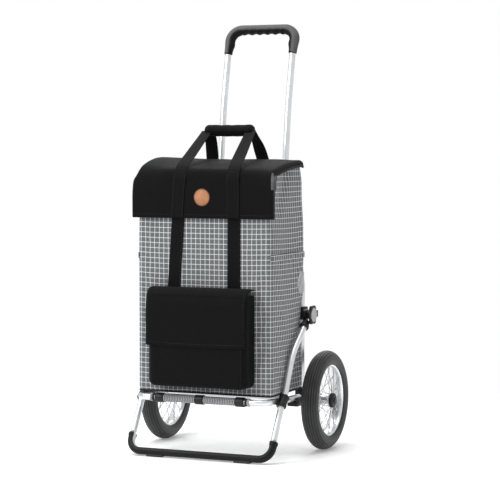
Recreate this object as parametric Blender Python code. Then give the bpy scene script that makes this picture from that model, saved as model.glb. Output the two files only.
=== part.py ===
"""Shopping trolley: folding aluminium frame on two spoked wheels, with a lidded bag.

Lengths are millimetres in a frame whose Z = 0 is the ground, whose X runs to the
trolley's own right-hand side seen from the front, and whose Y = 0 is the wheel axle, +Y to
the rear.  MM turns them into metres.  The empty "trolley" carries everything and sets
the axle AXLE_Y behind the middle of the overall box.
"""

import math

import bmesh
import bpy
from mathutils import Matrix, Vector

MM = 0.001
GAP = 0.3
AXLE_Y = 80.5

# Wheels
WHEEL_R = 125.0
WHEEL_X = 223.3
TYRE_WIDTH = 44.0
TYRE_WALL = 4.0
RIM_BED_R = 88.0
RIM_LIP_R = 95.0
RIM_INNER_R = 84.5
RIM_WIDTH = 30.0
AXLE_R = 6.0
HUB_R = 11.0
HUB_FLANGE_R = 19.0
HUB_INNER_X = 204.0
HUB_OUTER_X = 240.0
SPOKES = 16
SPOKE_R = 1.3
CAP_R = 18.5
CAP_X = 249.5
BUTTON_R = 8.0

# Main tubes and handle
TUBE_R = 8.25
TUBE_WALL = 1.5
HANDLE_X = 91.0
REAR_X = 158.0
HANDLE_TOP_Z = 1067.5
GRIP_END_Z = 1005.0
GRIP_R = 13.5
GRIP_END_R = 10.8
HANGER_Z = 690.0
BRACE_Z = 620.0

# Fold axis through the lock knobs, and the shelf pivots on the front frame
FOLD_Y = -38.0
FOLD_Z = 343.0
PIVOT_Y = -197.5
PIVOT_Z = 142.5
PIVOT_PIN_R = 3.0

# Front frame: side arms, foot bar and its bumper
ARM_X = 190.0
ARM_R = 8.0
FOOT_Y = -276.0
FOOT_Z = 12.5
BUMPER_R = 10.3
BUMPER_END_Z = 48.0
PAD_X = 118.0
PAD_LENGTH = 43.0

# Shelf
SHELF_X = 172.5
SHELF_FRONT_Y = -266.0
SHELF_FRONT_Z = 146.0
SHELF_REAR_Y = -52.0
SHELF_FALL = 0.0514
SHELF_SPLIT_X = 128.0
CLIP_X = 108.0
CLIP_WIDTH = 22.0
SLEEVE_R = 9.7

# Bag
BAG_HALF = 179.2
BAG_FRONT = -244.7
BAG_BACK = -45.2
BAG_BOTTOM = 153.5
BAG_TOP_FRONT = 698.0
BAG_TOP_REAR = 723.5
BAG_WALL = 3.0
BAG_CORNER_R = 9.0
REFLECTOR_Y = -80.0
REFLECTOR_Z = 425.0
REFLECTOR_R = 28.0
REFLECTOR_CUT_Y = -67.2

# Lid
LID_HALF = 190.0
LID_HINGE_Y = -44.0
LID_HINGE_Z = 727.0
LID_FRONT_Y = -253.0
LID_FRONT_Z = 703.0
LID_DROP_Z = 589.0
LID_THICK = 4.5

# Front pocket
POCKET_HALF = 137.0
POCKET_FRONT = -295.0
POCKET_BACK = -248.0
POCKET_BOTTOM = 178.0
POCKET_TOP = 404.0
POCKET_WALL = 2.5
FLAP_HINGE_Y = -249.5
FLAP_HINGE_Z = 420.0
FLAP_DROP_Z = 278.0
FLAP_THICK = 2.5

# Straps and carry grip; each strap's centre line leans from its foot to its head
STRAP_WIDTH = 33.0
STRAP_THICK = 2.0
STRAP_FOOT_Z = 424.0
STRAP_HEAD_Z = 695.0
STRAP_FOOT_X = {"left": -80.0, "right": 81.0}
STRAP_HEAD_X = {"left": -61.0, "right": 83.0}
CARRY_Y = -90.0
CARRY_Z = 804.0
CARRY_R = 14.0
CARRY_HALF = 64.0

# Leather patch and label on the lid's front flap
BADGE_Z = 640.5
BADGE_R = 21.0
BADGE_THICK = 2.0
LABEL_X = (178.0, 189.0)
LABEL_Z = (660.0, 697.0)

# Lock knobs
KNOB_INNER_X = 200.3
KNOB_RIM_X = 207.5
KNOB_FACE_X = 211.0
KNOB_R = 20.5
KNOB_LOBES = 6
KNOB_LOBE_R = 5.5
KNOB_LOBE_PLACE = 18.5
KNOB_FACE_R = 18.0
STUD_R = 4.0

SIDES = (("left", -1.0), ("right", 1.0))


# ---------------------------------------------------------------- scene helpers

def clear_scene():
    for obj in list(bpy.data.objects):
        bpy.data.objects.remove(obj, do_unlink=True)


def material(name, color, roughness, metallic=0.0):
    found = bpy.data.materials.get(name)
    if found:
        return found
    made = bpy.data.materials.new(name)
    made.use_nodes = True
    shader = made.node_tree.nodes["Principled BSDF"]
    shader.inputs["Base Color"].default_value = (*color, 1.0)
    shader.inputs["Roughness"].default_value = roughness
    shader.inputs["Metallic"].default_value = metallic
    return made


def aluminium(name):
    return material(name, (0.80, 0.81, 0.83), 0.28, 1.0)


def black_plastic(name):
    return material(name, (0.02, 0.02, 0.022), 0.45)


def black_cloth(name):
    return material(name, (0.012, 0.012, 0.014), 0.85)


def plaid_cloth(name):
    return material(name, (0.20, 0.215, 0.225), 0.85)


class Body:
    """An empty on a joint's axis that carries the pieces moving together."""

    def __init__(self, name, pivot, parent=None):
        self.pivot = Vector(pivot)
        self.empty = bpy.data.objects.new(name, None)
        bpy.context.collection.objects.link(self.empty)
        start = parent.pivot if parent else Vector((0.0, 0.0, 0.0))
        self.empty.location = (self.pivot - start) * MM
        if parent:
            self.empty.parent = parent.empty

    def add(self, name, mesh_object, finish):
        """Name a piece, give it its material and hang it on this body."""
        mesh_object.name = name
        mesh_object.data.name = name
        mesh_object.data.transform(Matrix.Translation(-self.pivot))
        mesh_object.data.transform(Matrix.Scale(MM, 4))
        mesh_object.data.materials.clear()
        mesh_object.data.materials.append(finish(name))
        mesh_object.data.shade_smooth()
        mesh_object.data.set_sharp_from_angle(angle=math.radians(40))
        mesh_object.parent = self.empty
        return mesh_object


def object_from(bm):
    """A mesh object, in millimetres, with its faces turned outwards."""
    bmesh.ops.recalc_face_normals(bm, faces=bm.faces)
    mesh = bpy.data.meshes.new("piece")
    bm.to_mesh(mesh)
    bm.free()
    made = bpy.data.objects.new("piece", mesh)
    bpy.context.collection.objects.link(made)
    return made


def combine(base, tool, operation):
    """Apply a boolean to base and remove the tool."""
    modifier = base.modifiers.new("combine", "BOOLEAN")
    modifier.operation = operation
    modifier.solver = "EXACT"
    modifier.object = tool
    graph = bpy.context.evaluated_depsgraph_get()
    result = bpy.data.meshes.new_from_object(base.evaluated_get(graph))
    base.modifiers.clear()
    base.data = result
    bpy.data.objects.remove(tool, do_unlink=True)
    return base


def join(base, *tools):
    for tool in tools:
        combine(base, tool, "UNION")
    return base


def cut(base, *tools):
    for tool in tools:
        combine(base, tool, "DIFFERENCE")
    return base


# ---------------------------------------------------------------- shape helpers

def rounded_path(corners, radii, steps=5):
    """A path through corners, each inner corner turned by an arc of its radius."""
    points = [Vector(corners[0])]
    for before, corner, after, radius in zip(corners, corners[1:], corners[2:], radii):
        before, corner, after = Vector(before), Vector(corner), Vector(after)
        arriving = (corner - before).normalized()
        leaving = (after - corner).normalized()
        turn = arriving.angle(leaving)
        reach = radius * math.tan(turn / 2)
        inward = (leaving - arriving).normalized()
        centre = corner + inward * (radius / math.cos(turn / 2))
        first = corner - arriving * reach - centre
        axis = arriving.cross(leaving).normalized()
        for index in range(steps + 1):
            step = Matrix.Rotation(turn * index / steps, 3, axis)
            points.append(centre + step @ first)
    points.append(Vector(corners[-1]))
    return points


def ring_frames(path):
    """Two cross directions at each path point, carried along without twist."""
    tangents = []
    for index, point in enumerate(path):
        ahead = path[min(index + 1, len(path) - 1)]
        behind = path[max(index - 1, 0)]
        tangents.append((ahead - behind).normalized())
    side = tangents[0].orthogonal().normalized()
    frames = []
    for index, tangent in enumerate(tangents):
        if index:
            side = tangents[index - 1].rotation_difference(tangent) @ side
        side = (side - tangent * side.dot(tangent)).normalized()
        frames.append((side, tangent.cross(side)))
    return frames


def skin_rings(bm, rings):
    for lower, upper in zip(rings, rings[1:]):
        for index in range(len(lower)):
            after = (index + 1) % len(lower)
            bm.faces.new((lower[index], lower[after], upper[after], upper[index]))


def tube_rings(bm, path, radii, sides):
    rings = []
    for point, radius, (u, v) in zip(path, radii, ring_frames(path)):
        ring = []
        for index in range(sides):
            angle = 2 * math.pi * index / sides
            offset = u * math.cos(angle) + v * math.sin(angle)
            ring.append(bm.verts.new(point + offset * radius))
        rings.append(ring)
    return rings


def swept_rod(path, radius, sides=12):
    """A solid round bar along a path; radius is one value or one per point."""
    radii = radius if isinstance(radius, list) else [radius] * len(path)
    bm = bmesh.new()
    rings = tube_rings(bm, path, radii, sides)
    skin_rings(bm, rings)
    bm.faces.new(rings[0])
    bm.faces.new(rings[-1])
    return object_from(bm)


def swept_tube(path, outer, inner, sides=10):
    """A round tube, open at both ends, along a path."""
    outers = outer if isinstance(outer, list) else [outer] * len(path)
    bm = bmesh.new()
    outside = tube_rings(bm, path, outers, sides)
    inside = tube_rings(bm, path, [inner] * len(path), sides)
    skin_rings(bm, outside)
    skin_rings(bm, inside)
    for end in (0, -1):
        skin_rings(bm, [outside[end], inside[end]])
    return object_from(bm)


def bar(start, end, radius, sides=16):
    return swept_rod([Vector(start), Vector(end)], radius, sides)


def x_bar(x_from, x_to, y, z, radius, sides=16):
    return bar((x_from, y, z), (x_to, y, z), radius, sides)


def box(low, high):
    bm = bmesh.new()
    bmesh.ops.create_cube(bm, size=1.0)
    for vert in bm.verts:
        for axis in range(3):
            vert.co[axis] = high[axis] if vert.co[axis] > 0 else low[axis]
    return object_from(bm)


def side_box(sign, x_near, x_far, y_range, z_range):
    """A box given by its distances from the middle plane, on one side of it."""
    x_low, x_high = sorted((sign * x_near, sign * x_far))
    return box((x_low, y_range[0], z_range[0]), (x_high, y_range[1], z_range[1]))


def turned(profile, centre, segments, closed=True):
    """Turn a profile of (x, radius) points about the X axis through centre."""
    bm = bmesh.new()
    rings = []
    for x, radius in profile:
        ring = []
        for index in range(segments):
            angle = 2 * math.pi * index / segments
            y, z = radius * math.cos(angle), radius * math.sin(angle)
            ring.append(bm.verts.new(Vector((x, y, z)) + Vector(centre)))
        rings.append(ring)
    skin_rings(bm, rings)
    if closed:
        skin_rings(bm, [rings[-1], rings[0]])
    else:
        bm.faces.new(rings[0])
        bm.faces.new(rings[-1])
    return object_from(bm)


def rounded_rectangle(half_x, y_low, y_high, radius, steps=3):
    """Corner-rounded outline in plan, counter-clockwise."""
    corners = ((half_x, y_high), (-half_x, y_high), (-half_x, y_low), (half_x, y_low))
    outline = []
    for index, (x, y) in enumerate(corners):
        cx = x - math.copysign(radius, x)
        cy = y_high - radius if y == y_high else y_low + radius
        for step in range(steps + 1):
            angle = math.pi / 2 * (index + step / steps)
            outline.append((cx + radius * math.cos(angle), cy + radius * math.sin(angle)))
    return outline


def band(centres, width, thick, across=Vector((1.0, 0.0, 0.0))):
    """A flat strip of webbing along centres; its width lies along across."""
    bm = bmesh.new()
    rings = []
    for index, point in enumerate(centres):
        ahead = centres[min(index + 1, len(centres) - 1)]
        behind = centres[max(index - 1, 0)]
        normal = across.cross((ahead - behind).normalized()).normalized()
        ring = []
        for along, out in ((-1, -1), (1, -1), (1, 1), (-1, 1)):
            offset = across * (along * width / 2) + normal * (out * thick / 2)
            ring.append(bm.verts.new(point + offset))
        rings.append(ring)
    skin_rings(bm, rings)
    bm.faces.new(rings[0])
    bm.faces.new(rings[-1])
    return object_from(bm)


def sheet_profile(outline, thick):
    """Both faces of a bent panel: outline is its outer face as (y, z) points."""
    points = [Vector(point) for point in outline]
    inner = []
    for index, point in enumerate(points):
        ahead = points[min(index + 1, len(points) - 1)]
        behind = points[max(index - 1, 0)]
        along = (ahead - behind).normalized()
        inner.append(point + Vector((along.y, -along.x)) * thick)
    return points, inner


def bent_panel(outline, thick, half_width):
    """A panel of even thickness, bent along X, from its outer face's outline."""
    outer, inner = sheet_profile(outline, thick)
    loop = outer + inner[::-1]
    bm = bmesh.new()
    rings = []
    for x in (-half_width, half_width):
        rings.append([bm.verts.new((x, point.x, point.y)) for point in loop])
    skin_rings(bm, rings)
    for ring in rings:
        for index in range(len(outer) - 1):
            far = len(loop) - 1 - index
            bm.faces.new((ring[index], ring[index + 1], ring[far - 1], ring[far]))
    return object_from(bm)


# ---------------------------------------------------------------- handle and rear frame

def handle_point(z, slope=0.126, base=(56.0, 737.0)):
    """Rearward place of the straight part of the handle tubes at height z."""
    return base[0] + slope * (z - base[1])


def main_tube_path(sign):
    """From the axle bracket up to the grip: splayed behind the bag, curved at the top."""
    corners = [(REAR_X, 0.0, 134.0), (REAR_X, 0.0, 260.0), (REAR_X, handle_point(420.0), 420.0),
               (HANDLE_X, handle_point(590.0), 590.0), (HANDLE_X, 73.0, 872.0),
               (HANDLE_X, 100.4, GRIP_END_Z - 1.0)]
    radii = (260.0, 90.0, 90.0, 420.0)
    return [Vector((sign * point.x, point.y, point.z)) for point in rounded_path(corners, radii, 3)]


def grip_path():
    """Over the top of the handle, from one tube end to the other."""
    corners = [(-HANDLE_X, 100.6, GRIP_END_Z), (-HANDLE_X, 123.5, HANDLE_TOP_Z),
               (HANDLE_X, 123.5, HANDLE_TOP_Z), (HANDLE_X, 100.6, GRIP_END_Z)]
    return rounded_path(corners, (31.0, 31.0), 5)


def add_handle(root):
    for side, sign in SIDES:
        path = main_tube_path(sign)
        root.add(f"main_tube_{side}", swept_tube(path, TUBE_R, TUBE_R - TUBE_WALL), aluminium)
    path = grip_path()
    top = [path[0] + (path[1] - path[0]).normalized() * 3.0, *path[1:-1]]
    top.append(path[-1] + (path[-2] - path[-1]).normalized() * 3.0)
    root.add("handle_top_tube", swept_tube(top, TUBE_R, TUBE_R - TUBE_WALL, 8), aluminium)
    count = len(path) - 1
    radii = [GRIP_R - (GRIP_R - GRIP_END_R) * abs(2 * index / count - 1) ** 6
             for index in range(count + 1)]
    grip = swept_tube(path, radii, TUBE_R + 0.35, 12)
    root.add("handle_grip", grip, lambda name: material(name, (0.03, 0.03, 0.032), 0.6))


def add_braces(root):
    brace_end = HANDLE_X - TUBE_R - GAP
    brace = x_bar(-brace_end, brace_end, handle_point(BRACE_Z), BRACE_Z, 6.0)
    root.add("handle_brace", brace, aluminium)
    lower_end = REAR_X - TUBE_R - GAP
    lower = x_bar(-lower_end, lower_end, 2.5, 300.0, 6.0)
    root.add("rear_brace", lower, aluminium)


def add_bag_hanger(root):
    """Collars on the handle tubes carry a bent rod that the bag's back hangs from."""
    y_tube = handle_point(HANGER_Z)
    rail_y = BAG_BACK + 9.0
    corners = [(-HANDLE_X, y_tube - 9.5, HANGER_Z), (-HANDLE_X, rail_y, HANGER_Z),
               (HANDLE_X, rail_y, HANGER_Z), (HANDLE_X, y_tube - 9.5, HANGER_Z)]
    hanger = swept_rod(rounded_path(corners, (14.0, 14.0), 4), 4.0, 10)
    lean = handle_point(1.0) - handle_point(0.0)
    for sign in (-1.0, 1.0):
        foot = Vector((sign * HANDLE_X, y_tube - 11.0 * lean, HANGER_Z - 11.0))
        top = Vector((sign * HANDLE_X, y_tube + 11.0 * lean, HANGER_Z + 11.0))
        join(hanger, bar(foot, top, 12.0))
    for sign in (-1.0, 1.0):
        foot = Vector((sign * HANDLE_X, y_tube - 20.0 * lean, HANGER_Z - 20.0))
        top = Vector((sign * HANDLE_X, y_tube + 20.0 * lean, HANGER_Z + 20.0))
        cut(hanger, bar(foot, top, TUBE_R + 0.5, 16))
    root.add("bag_hanger", hanger, black_plastic)


def add_axle(root):
    axle_end = HUB_OUTER_X - 0.5
    root.add("axle", x_bar(-axle_end, axle_end, 0.0, WHEEL_R, AXLE_R),
             lambda name: material(name, (0.6, 0.61, 0.63), 0.3, 1.0))
    for side, sign in SIDES:
        block = side_box(sign, 146.5, 169.0, (-13.0, 13.0), (111.0, 152.0))
        web = side_box(sign, 157.5, 163.9, (-90.0, -12.0), (117.0, 140.0))
        floor = side_box(sign, 157.6, 185.5, (-89.9, -64.0), (116.9, 127.0))
        outer_wall = side_box(sign, 181.1, 185.4, (-89.8, -64.1), (117.1, 139.0))
        join(block, web, floor, outer_wall)
        tube_hole = bar((sign * REAR_X, 0.0, 133.6), (sign * REAR_X, 0.0, 160.0), TUBE_R + 0.5, 24)
        axle_hole = x_bar(sign * 140.0, sign * 175.0, 0.0, WHEEL_R, AXLE_R + 0.35, 20)
        cut(block, tube_hole, axle_hole)
        root.add(f"axle_bracket_{side}", block, black_plastic)


def add_knob_housings(root):
    """Lugs beside the front frame's eyes, reaching back to collars on the main tubes."""
    collar_y = 4.0
    for side, sign in SIDES:
        lug = x_bar(sign * 190.5, sign * 199.9, FOLD_Y, FOLD_Z, 10.0, 24)
        cheek = side_box(sign, 190.5, 199.8, (FOLD_Y, 10.0), (FOLD_Z - 8.0, FOLD_Z + 8.0))
        bridge = side_box(sign, REAR_X, 199.7, (-10.0, 9.9), (FOLD_Z - 7.9, FOLD_Z + 7.9))
        collar = bar((sign * REAR_X, collar_y, FOLD_Z - 16.0), (sign * REAR_X, collar_y, FOLD_Z + 16.0),
                     15.0, 20)
        join(lug, cheek, bridge, collar)
        path = [point for point in main_tube_path(sign) if 200.0 < point.z < 480.0]
        bore = swept_rod(path, TUBE_R + 0.45, 24)
        stud_hole = x_bar(sign * 185.0, sign * 205.0, FOLD_Y, FOLD_Z, STUD_R + 0.35, 16)
        cut(lug, bore, stud_hole)
        root.add(f"knob_housing_{side}", lug, black_plastic)


# ---------------------------------------------------------------- bag

def add_bag_body(root):
    """Open-topped fabric shell; its rim slopes down to the front."""
    bm = bmesh.new()

    def rim_height(y):
        share = (y - BAG_FRONT) / (BAG_BACK - BAG_FRONT)
        return BAG_TOP_FRONT + (BAG_TOP_REAR - BAG_TOP_FRONT) * share

    outline = rounded_rectangle(BAG_HALF, BAG_FRONT, BAG_BACK, BAG_CORNER_R)
    inner_line = rounded_rectangle(BAG_HALF - BAG_WALL, BAG_FRONT + BAG_WALL,
                                   BAG_BACK - BAG_WALL, BAG_CORNER_R - BAG_WALL)
    rings = [[bm.verts.new((x, y, BAG_BOTTOM)) for x, y in outline],
             [bm.verts.new((x, y, rim_height(y))) for x, y in outline],
             [bm.verts.new((x, y, rim_height(y))) for x, y in inner_line],
             [bm.verts.new((x, y, BAG_BOTTOM + BAG_WALL)) for x, y in inner_line]]
    skin_rings(bm, rings)
    bm.faces.new(rings[0])
    bm.faces.new(rings[-1])
    root.add("bag_body", object_from(bm), plaid_cloth)


def add_base_board(root):
    inset = BAG_WALL + 2.0
    low = (-BAG_HALF + inset, BAG_FRONT + inset, BAG_BOTTOM + BAG_WALL + GAP)
    high = (BAG_HALF - inset, BAG_BACK - inset, BAG_BOTTOM + BAG_WALL + GAP + 3.0)
    outline = rounded_rectangle(high[0], low[1], high[1], 15.0)
    bm = bmesh.new()
    rings = [[bm.verts.new((x, y, z)) for x, y in outline] for z in (low[2], high[2])]
    skin_rings(bm, rings)
    for ring in rings:
        bm.faces.new(ring)
    root.add("base_board", object_from(bm), lambda name: material(name, (0.03, 0.03, 0.03), 0.6))


def add_front_pocket(root):
    low = (-POCKET_HALF, POCKET_FRONT, POCKET_BOTTOM)
    pocket = box(low, (POCKET_HALF, POCKET_BACK, POCKET_TOP))
    hollow = box((-POCKET_HALF + POCKET_WALL, POCKET_FRONT + POCKET_WALL, POCKET_BOTTOM + POCKET_WALL),
                 (POCKET_HALF - POCKET_WALL, POCKET_BACK - POCKET_WALL, POCKET_TOP + 20.0))
    cut(pocket, hollow)
    root.add("front_pocket", pocket, black_cloth)


def strap_x(side, z):
    """Place across the bag of a leaning strap's centre line at height z."""
    share = (z - STRAP_FOOT_Z) / (STRAP_HEAD_Z - STRAP_FOOT_Z)
    return STRAP_FOOT_X[side] + (STRAP_HEAD_X[side] - STRAP_FOOT_X[side]) * share


def add_bag_straps(root):
    y = BAG_FRONT - GAP - STRAP_THICK / 2
    low, high = FLAP_HINGE_Z + 5.0, LID_DROP_Z - 1.0
    for side, _ in SIDES:
        line = [Vector((strap_x(side, z), y, z)) for z in (low, high)]
        root.add(f"bag_strap_{side}", band(line, STRAP_WIDTH, STRAP_THICK), black_cloth)


def add_reflectors(root):
    """Round reflective patches on the bag's sides, cut straight at its rear edge."""
    for side, sign in SIDES:
        patch = x_bar(sign * (BAG_HALF + GAP), sign * (BAG_HALF + GAP + 1.0), REFLECTOR_Y,
                      REFLECTOR_Z, REFLECTOR_R, 32)
        trim = side_box(sign, BAG_HALF - 10.0, BAG_HALF + 10.0,
                        (REFLECTOR_CUT_Y, REFLECTOR_CUT_Y + 2 * REFLECTOR_R),
                        (REFLECTOR_Z - REFLECTOR_R - 1.0, REFLECTOR_Z + REFLECTOR_R + 1.0))
        cut(patch, trim)
        root.add(f"reflector_{side}", patch, lambda name: material(name, (0.75, 0.76, 0.78), 0.3))


# ---------------------------------------------------------------- lid and straps

def add_lid(lid):
    """Top panel that turns down over the bag's front as a flap."""
    fall = (LID_HINGE_Z - LID_FRONT_Z) / (LID_HINGE_Y - LID_FRONT_Y)
    corners = [(0.0, LID_HINGE_Y, LID_HINGE_Z + 5.0), (0.0, LID_FRONT_Y, LID_FRONT_Z + 5.0 - fall),
               (0.0, LID_FRONT_Y, LID_DROP_Z)]
    outline = [(point.y, point.z) for point in rounded_path(corners, (14.0,), 5)]
    panel = bent_panel(outline[::-1], LID_THICK, LID_HALF)
    lid.add("lid_flap", panel, black_cloth)


def add_carry_straps(lid):
    """Webbing over the flap and straight up to the carry grip, and its rear pair."""
    face_y = LID_FRONT_Y - 2 * GAP - STRAP_THICK / 2
    for side, sign in SIDES:
        head = strap_x(side, STRAP_HEAD_Z)
        low = LID_DROP_Z + 1.0
        end = Vector((sign * CARRY_HALF, CARRY_Y - CARRY_R - 3.0, CARRY_Z - 5.0))
        start = Vector((head, LID_FRONT_Y + 9.0, LID_FRONT_Z + 11.0))
        front = [Vector((strap_x(side, low), face_y, low)), Vector((head, face_y, STRAP_HEAD_Z)),
                 Vector((head, face_y + 1.0, LID_FRONT_Z + 1.0)), start, start.lerp(end, 0.5), end]
        lid.add(f"carry_strap_front_{side}", band(front, STRAP_WIDTH, STRAP_THICK), black_cloth)
        rear = [Vector((sign * x, y, z)) for x, y, z in (
            (69.0, -50.0, 735.0), (67.0, -54.0, 752.0), (64.0, -62.0, 772.0),
            (60.0, CARRY_Y + CARRY_R + 2.5, 792.0))]
        lid.add(f"carry_strap_rear_{side}", band(rear, STRAP_WIDTH, STRAP_THICK), black_cloth)
    grip = x_bar(-CARRY_HALF, CARRY_HALF, CARRY_Y, CARRY_Z, CARRY_R)
    lid.add("carry_grip", grip, black_cloth)


def add_lid_trim(lid):
    face_y = LID_FRONT_Y - GAP
    badge = bar((0.0, face_y, BADGE_Z), (0.0, face_y - BADGE_THICK, BADGE_Z), BADGE_R, 32)
    lid.add("badge", badge, lambda name: material(name, (0.62, 0.27, 0.12), 0.6))
    label = box((LABEL_X[0], face_y - 1.0, LABEL_Z[0]), (LABEL_X[1], face_y, LABEL_Z[1]))
    lid.add("side_label", label, lambda name: material(name, (0.35, 0.35, 0.36), 0.8))


def add_pocket_flap(flap):
    """Flap that covers the front pocket's mouth and half its front."""
    front = POCKET_FRONT - GAP - FLAP_THICK
    corners = [(0.0, FLAP_HINGE_Y, FLAP_HINGE_Z), (0.0, front, FLAP_HINGE_Z - 9.0),
               (0.0, front, FLAP_DROP_Z)]
    outline = [(point.y, point.z) for point in rounded_path(corners, (9.0,), 4)]
    flap.add("pocket_flap", bent_panel(outline[::-1], FLAP_THICK, POCKET_HALF + 2.0), black_cloth)


# ---------------------------------------------------------------- front frame

def arm_corners(sign):
    """Side arm's centreline from the knob's eye down to the foot bar."""
    side = sign * ARM_X
    return [(side, -50.0, 322.3), (side, -136.7, 254.5), (side, -184.0, 156.0),
            (side, -206.0, 134.0), (side, FOOT_Y, FOOT_Z)]


def arm_path(sign):
    corners = arm_corners(sign)
    lower = Vector(corners[-2]).lerp(Vector(corners[-1]), split_share(corners))
    return rounded_path([*corners[:-1], lower], (140.0, 30.0, 30.0), 3)


def split_share(corners):
    """How far down the last run the side arm meets the foot bar's tube."""
    return (corners[-2][2] - BUMPER_END_Z + 4.0) / (corners[-2][2] - corners[-1][2])


def foot_path(extra):
    """Foot bar with both turned-up ends; extra lengthens the ends up the arms."""
    corners = []
    for sign in (-1.0, 1.0):
        arm = arm_corners(sign)
        top = Vector(arm[-2]).lerp(Vector(arm[-1]), split_share(arm))
        rise = (Vector(arm[-2]) - Vector(arm[-1])).normalized()
        corners.append([top + rise * extra, Vector(arm[-1])])
    ends = [corners[0][0], corners[0][1], corners[1][1], corners[1][0]]
    return rounded_path(ends, (30.0, 30.0), 4)


def add_front_frame(front):
    for side, sign in SIDES:
        arm = swept_tube(arm_path(sign), ARM_R, ARM_R - TUBE_WALL)
        pin_hole = x_bar(sign * 175.0, sign * 205.0, PIVOT_Y, PIVOT_Z, PIVOT_PIN_R + 0.35)
        front.add(f"front_arm_{side}", cut(arm, pin_hole), aluminium)
    foot = swept_tube(foot_path(-GAP), ARM_R, ARM_R - TUBE_WALL, 8)
    front.add("foot_bar", foot, aluminium)


def add_foot_bumper(front):
    path = foot_path(6.0)
    radii = [BUMPER_R] * len(path)
    radii[0] = radii[-1] = BUMPER_R + 0.8
    front.add("foot_bumper", swept_tube(path, radii, ARM_R + 0.35, 12),
              lambda name: material(name, (0.02, 0.02, 0.02), 0.5))
    for side, sign in SIDES:
        middle = sign * PAD_X
        pad = box((middle - PAD_LENGTH / 2, FOOT_Y - 9.0, 0.0),
                  (middle + PAD_LENGTH / 2, FOOT_Y + 9.0, 7.0))
        groove = x_bar(middle - PAD_LENGTH, middle + PAD_LENGTH, FOOT_Y, FOOT_Z, BUMPER_R + 0.4, 28)
        front.add(f"foot_pad_{side}", cut(pad, groove),
                  lambda name: material(name, (0.05, 0.05, 0.05), 0.7))


def add_arm_eyes(front):
    """Eyes on the arms' top ends that the lock knobs' studs pass through."""
    for side, sign in SIDES:
        eye = x_bar(sign * 181.0, sign * 190.0, FOLD_Y, FOLD_Z, 14.0, 16)
        path = arm_path(sign)
        run = (path[1] - path[0]).normalized()
        collar = bar(path[0] - run * 4.0, path[0] + run * 16.0, ARM_R + 1.7, 16)
        neck = side_box(sign, 181.1, 189.9, (FOLD_Y - 8.0, FOLD_Y + 6.0), (322.0, FOLD_Z))
        join(eye, collar, neck)
        bore = bar(path[0] - run * GAP, path[0] + run * 40.0, ARM_R + 0.5, 16)
        stud_hole = x_bar(sign * 175.0, sign * 200.0, FOLD_Y, FOLD_Z, STUD_R + 0.35)
        cut(eye, bore, stud_hole)
        front.add(f"arm_eye_{side}", eye, black_plastic)


def add_clamps(front):
    """Clamp shells on the arms; a rivet goes on through the arm and the shelf tube."""
    run = Vector((0.0, -1.0, -1.0)).normalized()
    for side, sign in SIDES:
        middle = Vector((sign * ARM_X, PIVOT_Y, PIVOT_Z))
        shell = bar(middle - run * 9.5, middle + run * 9.5, 10.7, 20)
        bore = bar(middle - run * 30.0, middle + run * 30.0, ARM_R + 0.5, 16)
        inner_side = side_box(sign, 150.0, 183.0, (-260.0, -120.0), (90.0, 190.0))
        cut(shell, bore, inner_side)
        rivet = x_bar(sign * 199.5, sign * 160.0, PIVOT_Y, PIVOT_Z, PIVOT_PIN_R, 12)
        head = x_bar(sign * 163.0, sign * 159.0, PIVOT_Y, PIVOT_Z, 5.5, 12)
        join(shell, rivet, head)
        front.add(f"pivot_clamp_{side}", shell, black_plastic)


# ---------------------------------------------------------------- shelf

def shelf_height(y):
    return SHELF_FRONT_Z - SHELF_FALL * (y - SHELF_FRONT_Y)


def add_shelf(shelf):
    front = x_bar(-SHELF_SPLIT_X, SHELF_SPLIT_X, SHELF_FRONT_Y, SHELF_FRONT_Z, ARM_R)
    bore = x_bar(-SHELF_SPLIT_X - 5.0, SHELF_SPLIT_X + 5.0, SHELF_FRONT_Y, SHELF_FRONT_Z,
                 ARM_R - TUBE_WALL)
    shelf.add("shelf_front_tube", cut(front, bore), aluminium)
    for side, sign in SIDES:
        corners = [(sign * (SHELF_SPLIT_X + GAP), SHELF_FRONT_Y, SHELF_FRONT_Z),
                   (sign * SHELF_X, SHELF_FRONT_Y, SHELF_FRONT_Z),
                   (sign * SHELF_X, SHELF_REAR_Y, shelf_height(SHELF_REAR_Y))]
        arm = swept_tube(rounded_path(corners, (30.0,), 4), ARM_R, ARM_R - TUBE_WALL)
        hole = x_bar(sign * 155.0, sign * 190.0, PIVOT_Y, PIVOT_Z, PIVOT_PIN_R + 0.35)
        shelf.add(f"shelf_side_tube_{side}", cut(arm, hole), aluminium)
    rod_end = SHELF_X - ARM_R - GAP
    rod = x_bar(-rod_end, rod_end, -112.0, shelf_height(-112.0), 4.0, 8)
    shelf.add("shelf_cross_rod", rod, aluminium)


def bar_sleeve(x_from, x_to, outer):
    profile = [(x_from, outer), (x_to, outer), (x_to, ARM_R + 0.3), (x_from, ARM_R + 0.3)]
    return turned(profile, (0.0, SHELF_FRONT_Y, SHELF_FRONT_Z), 16)


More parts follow.
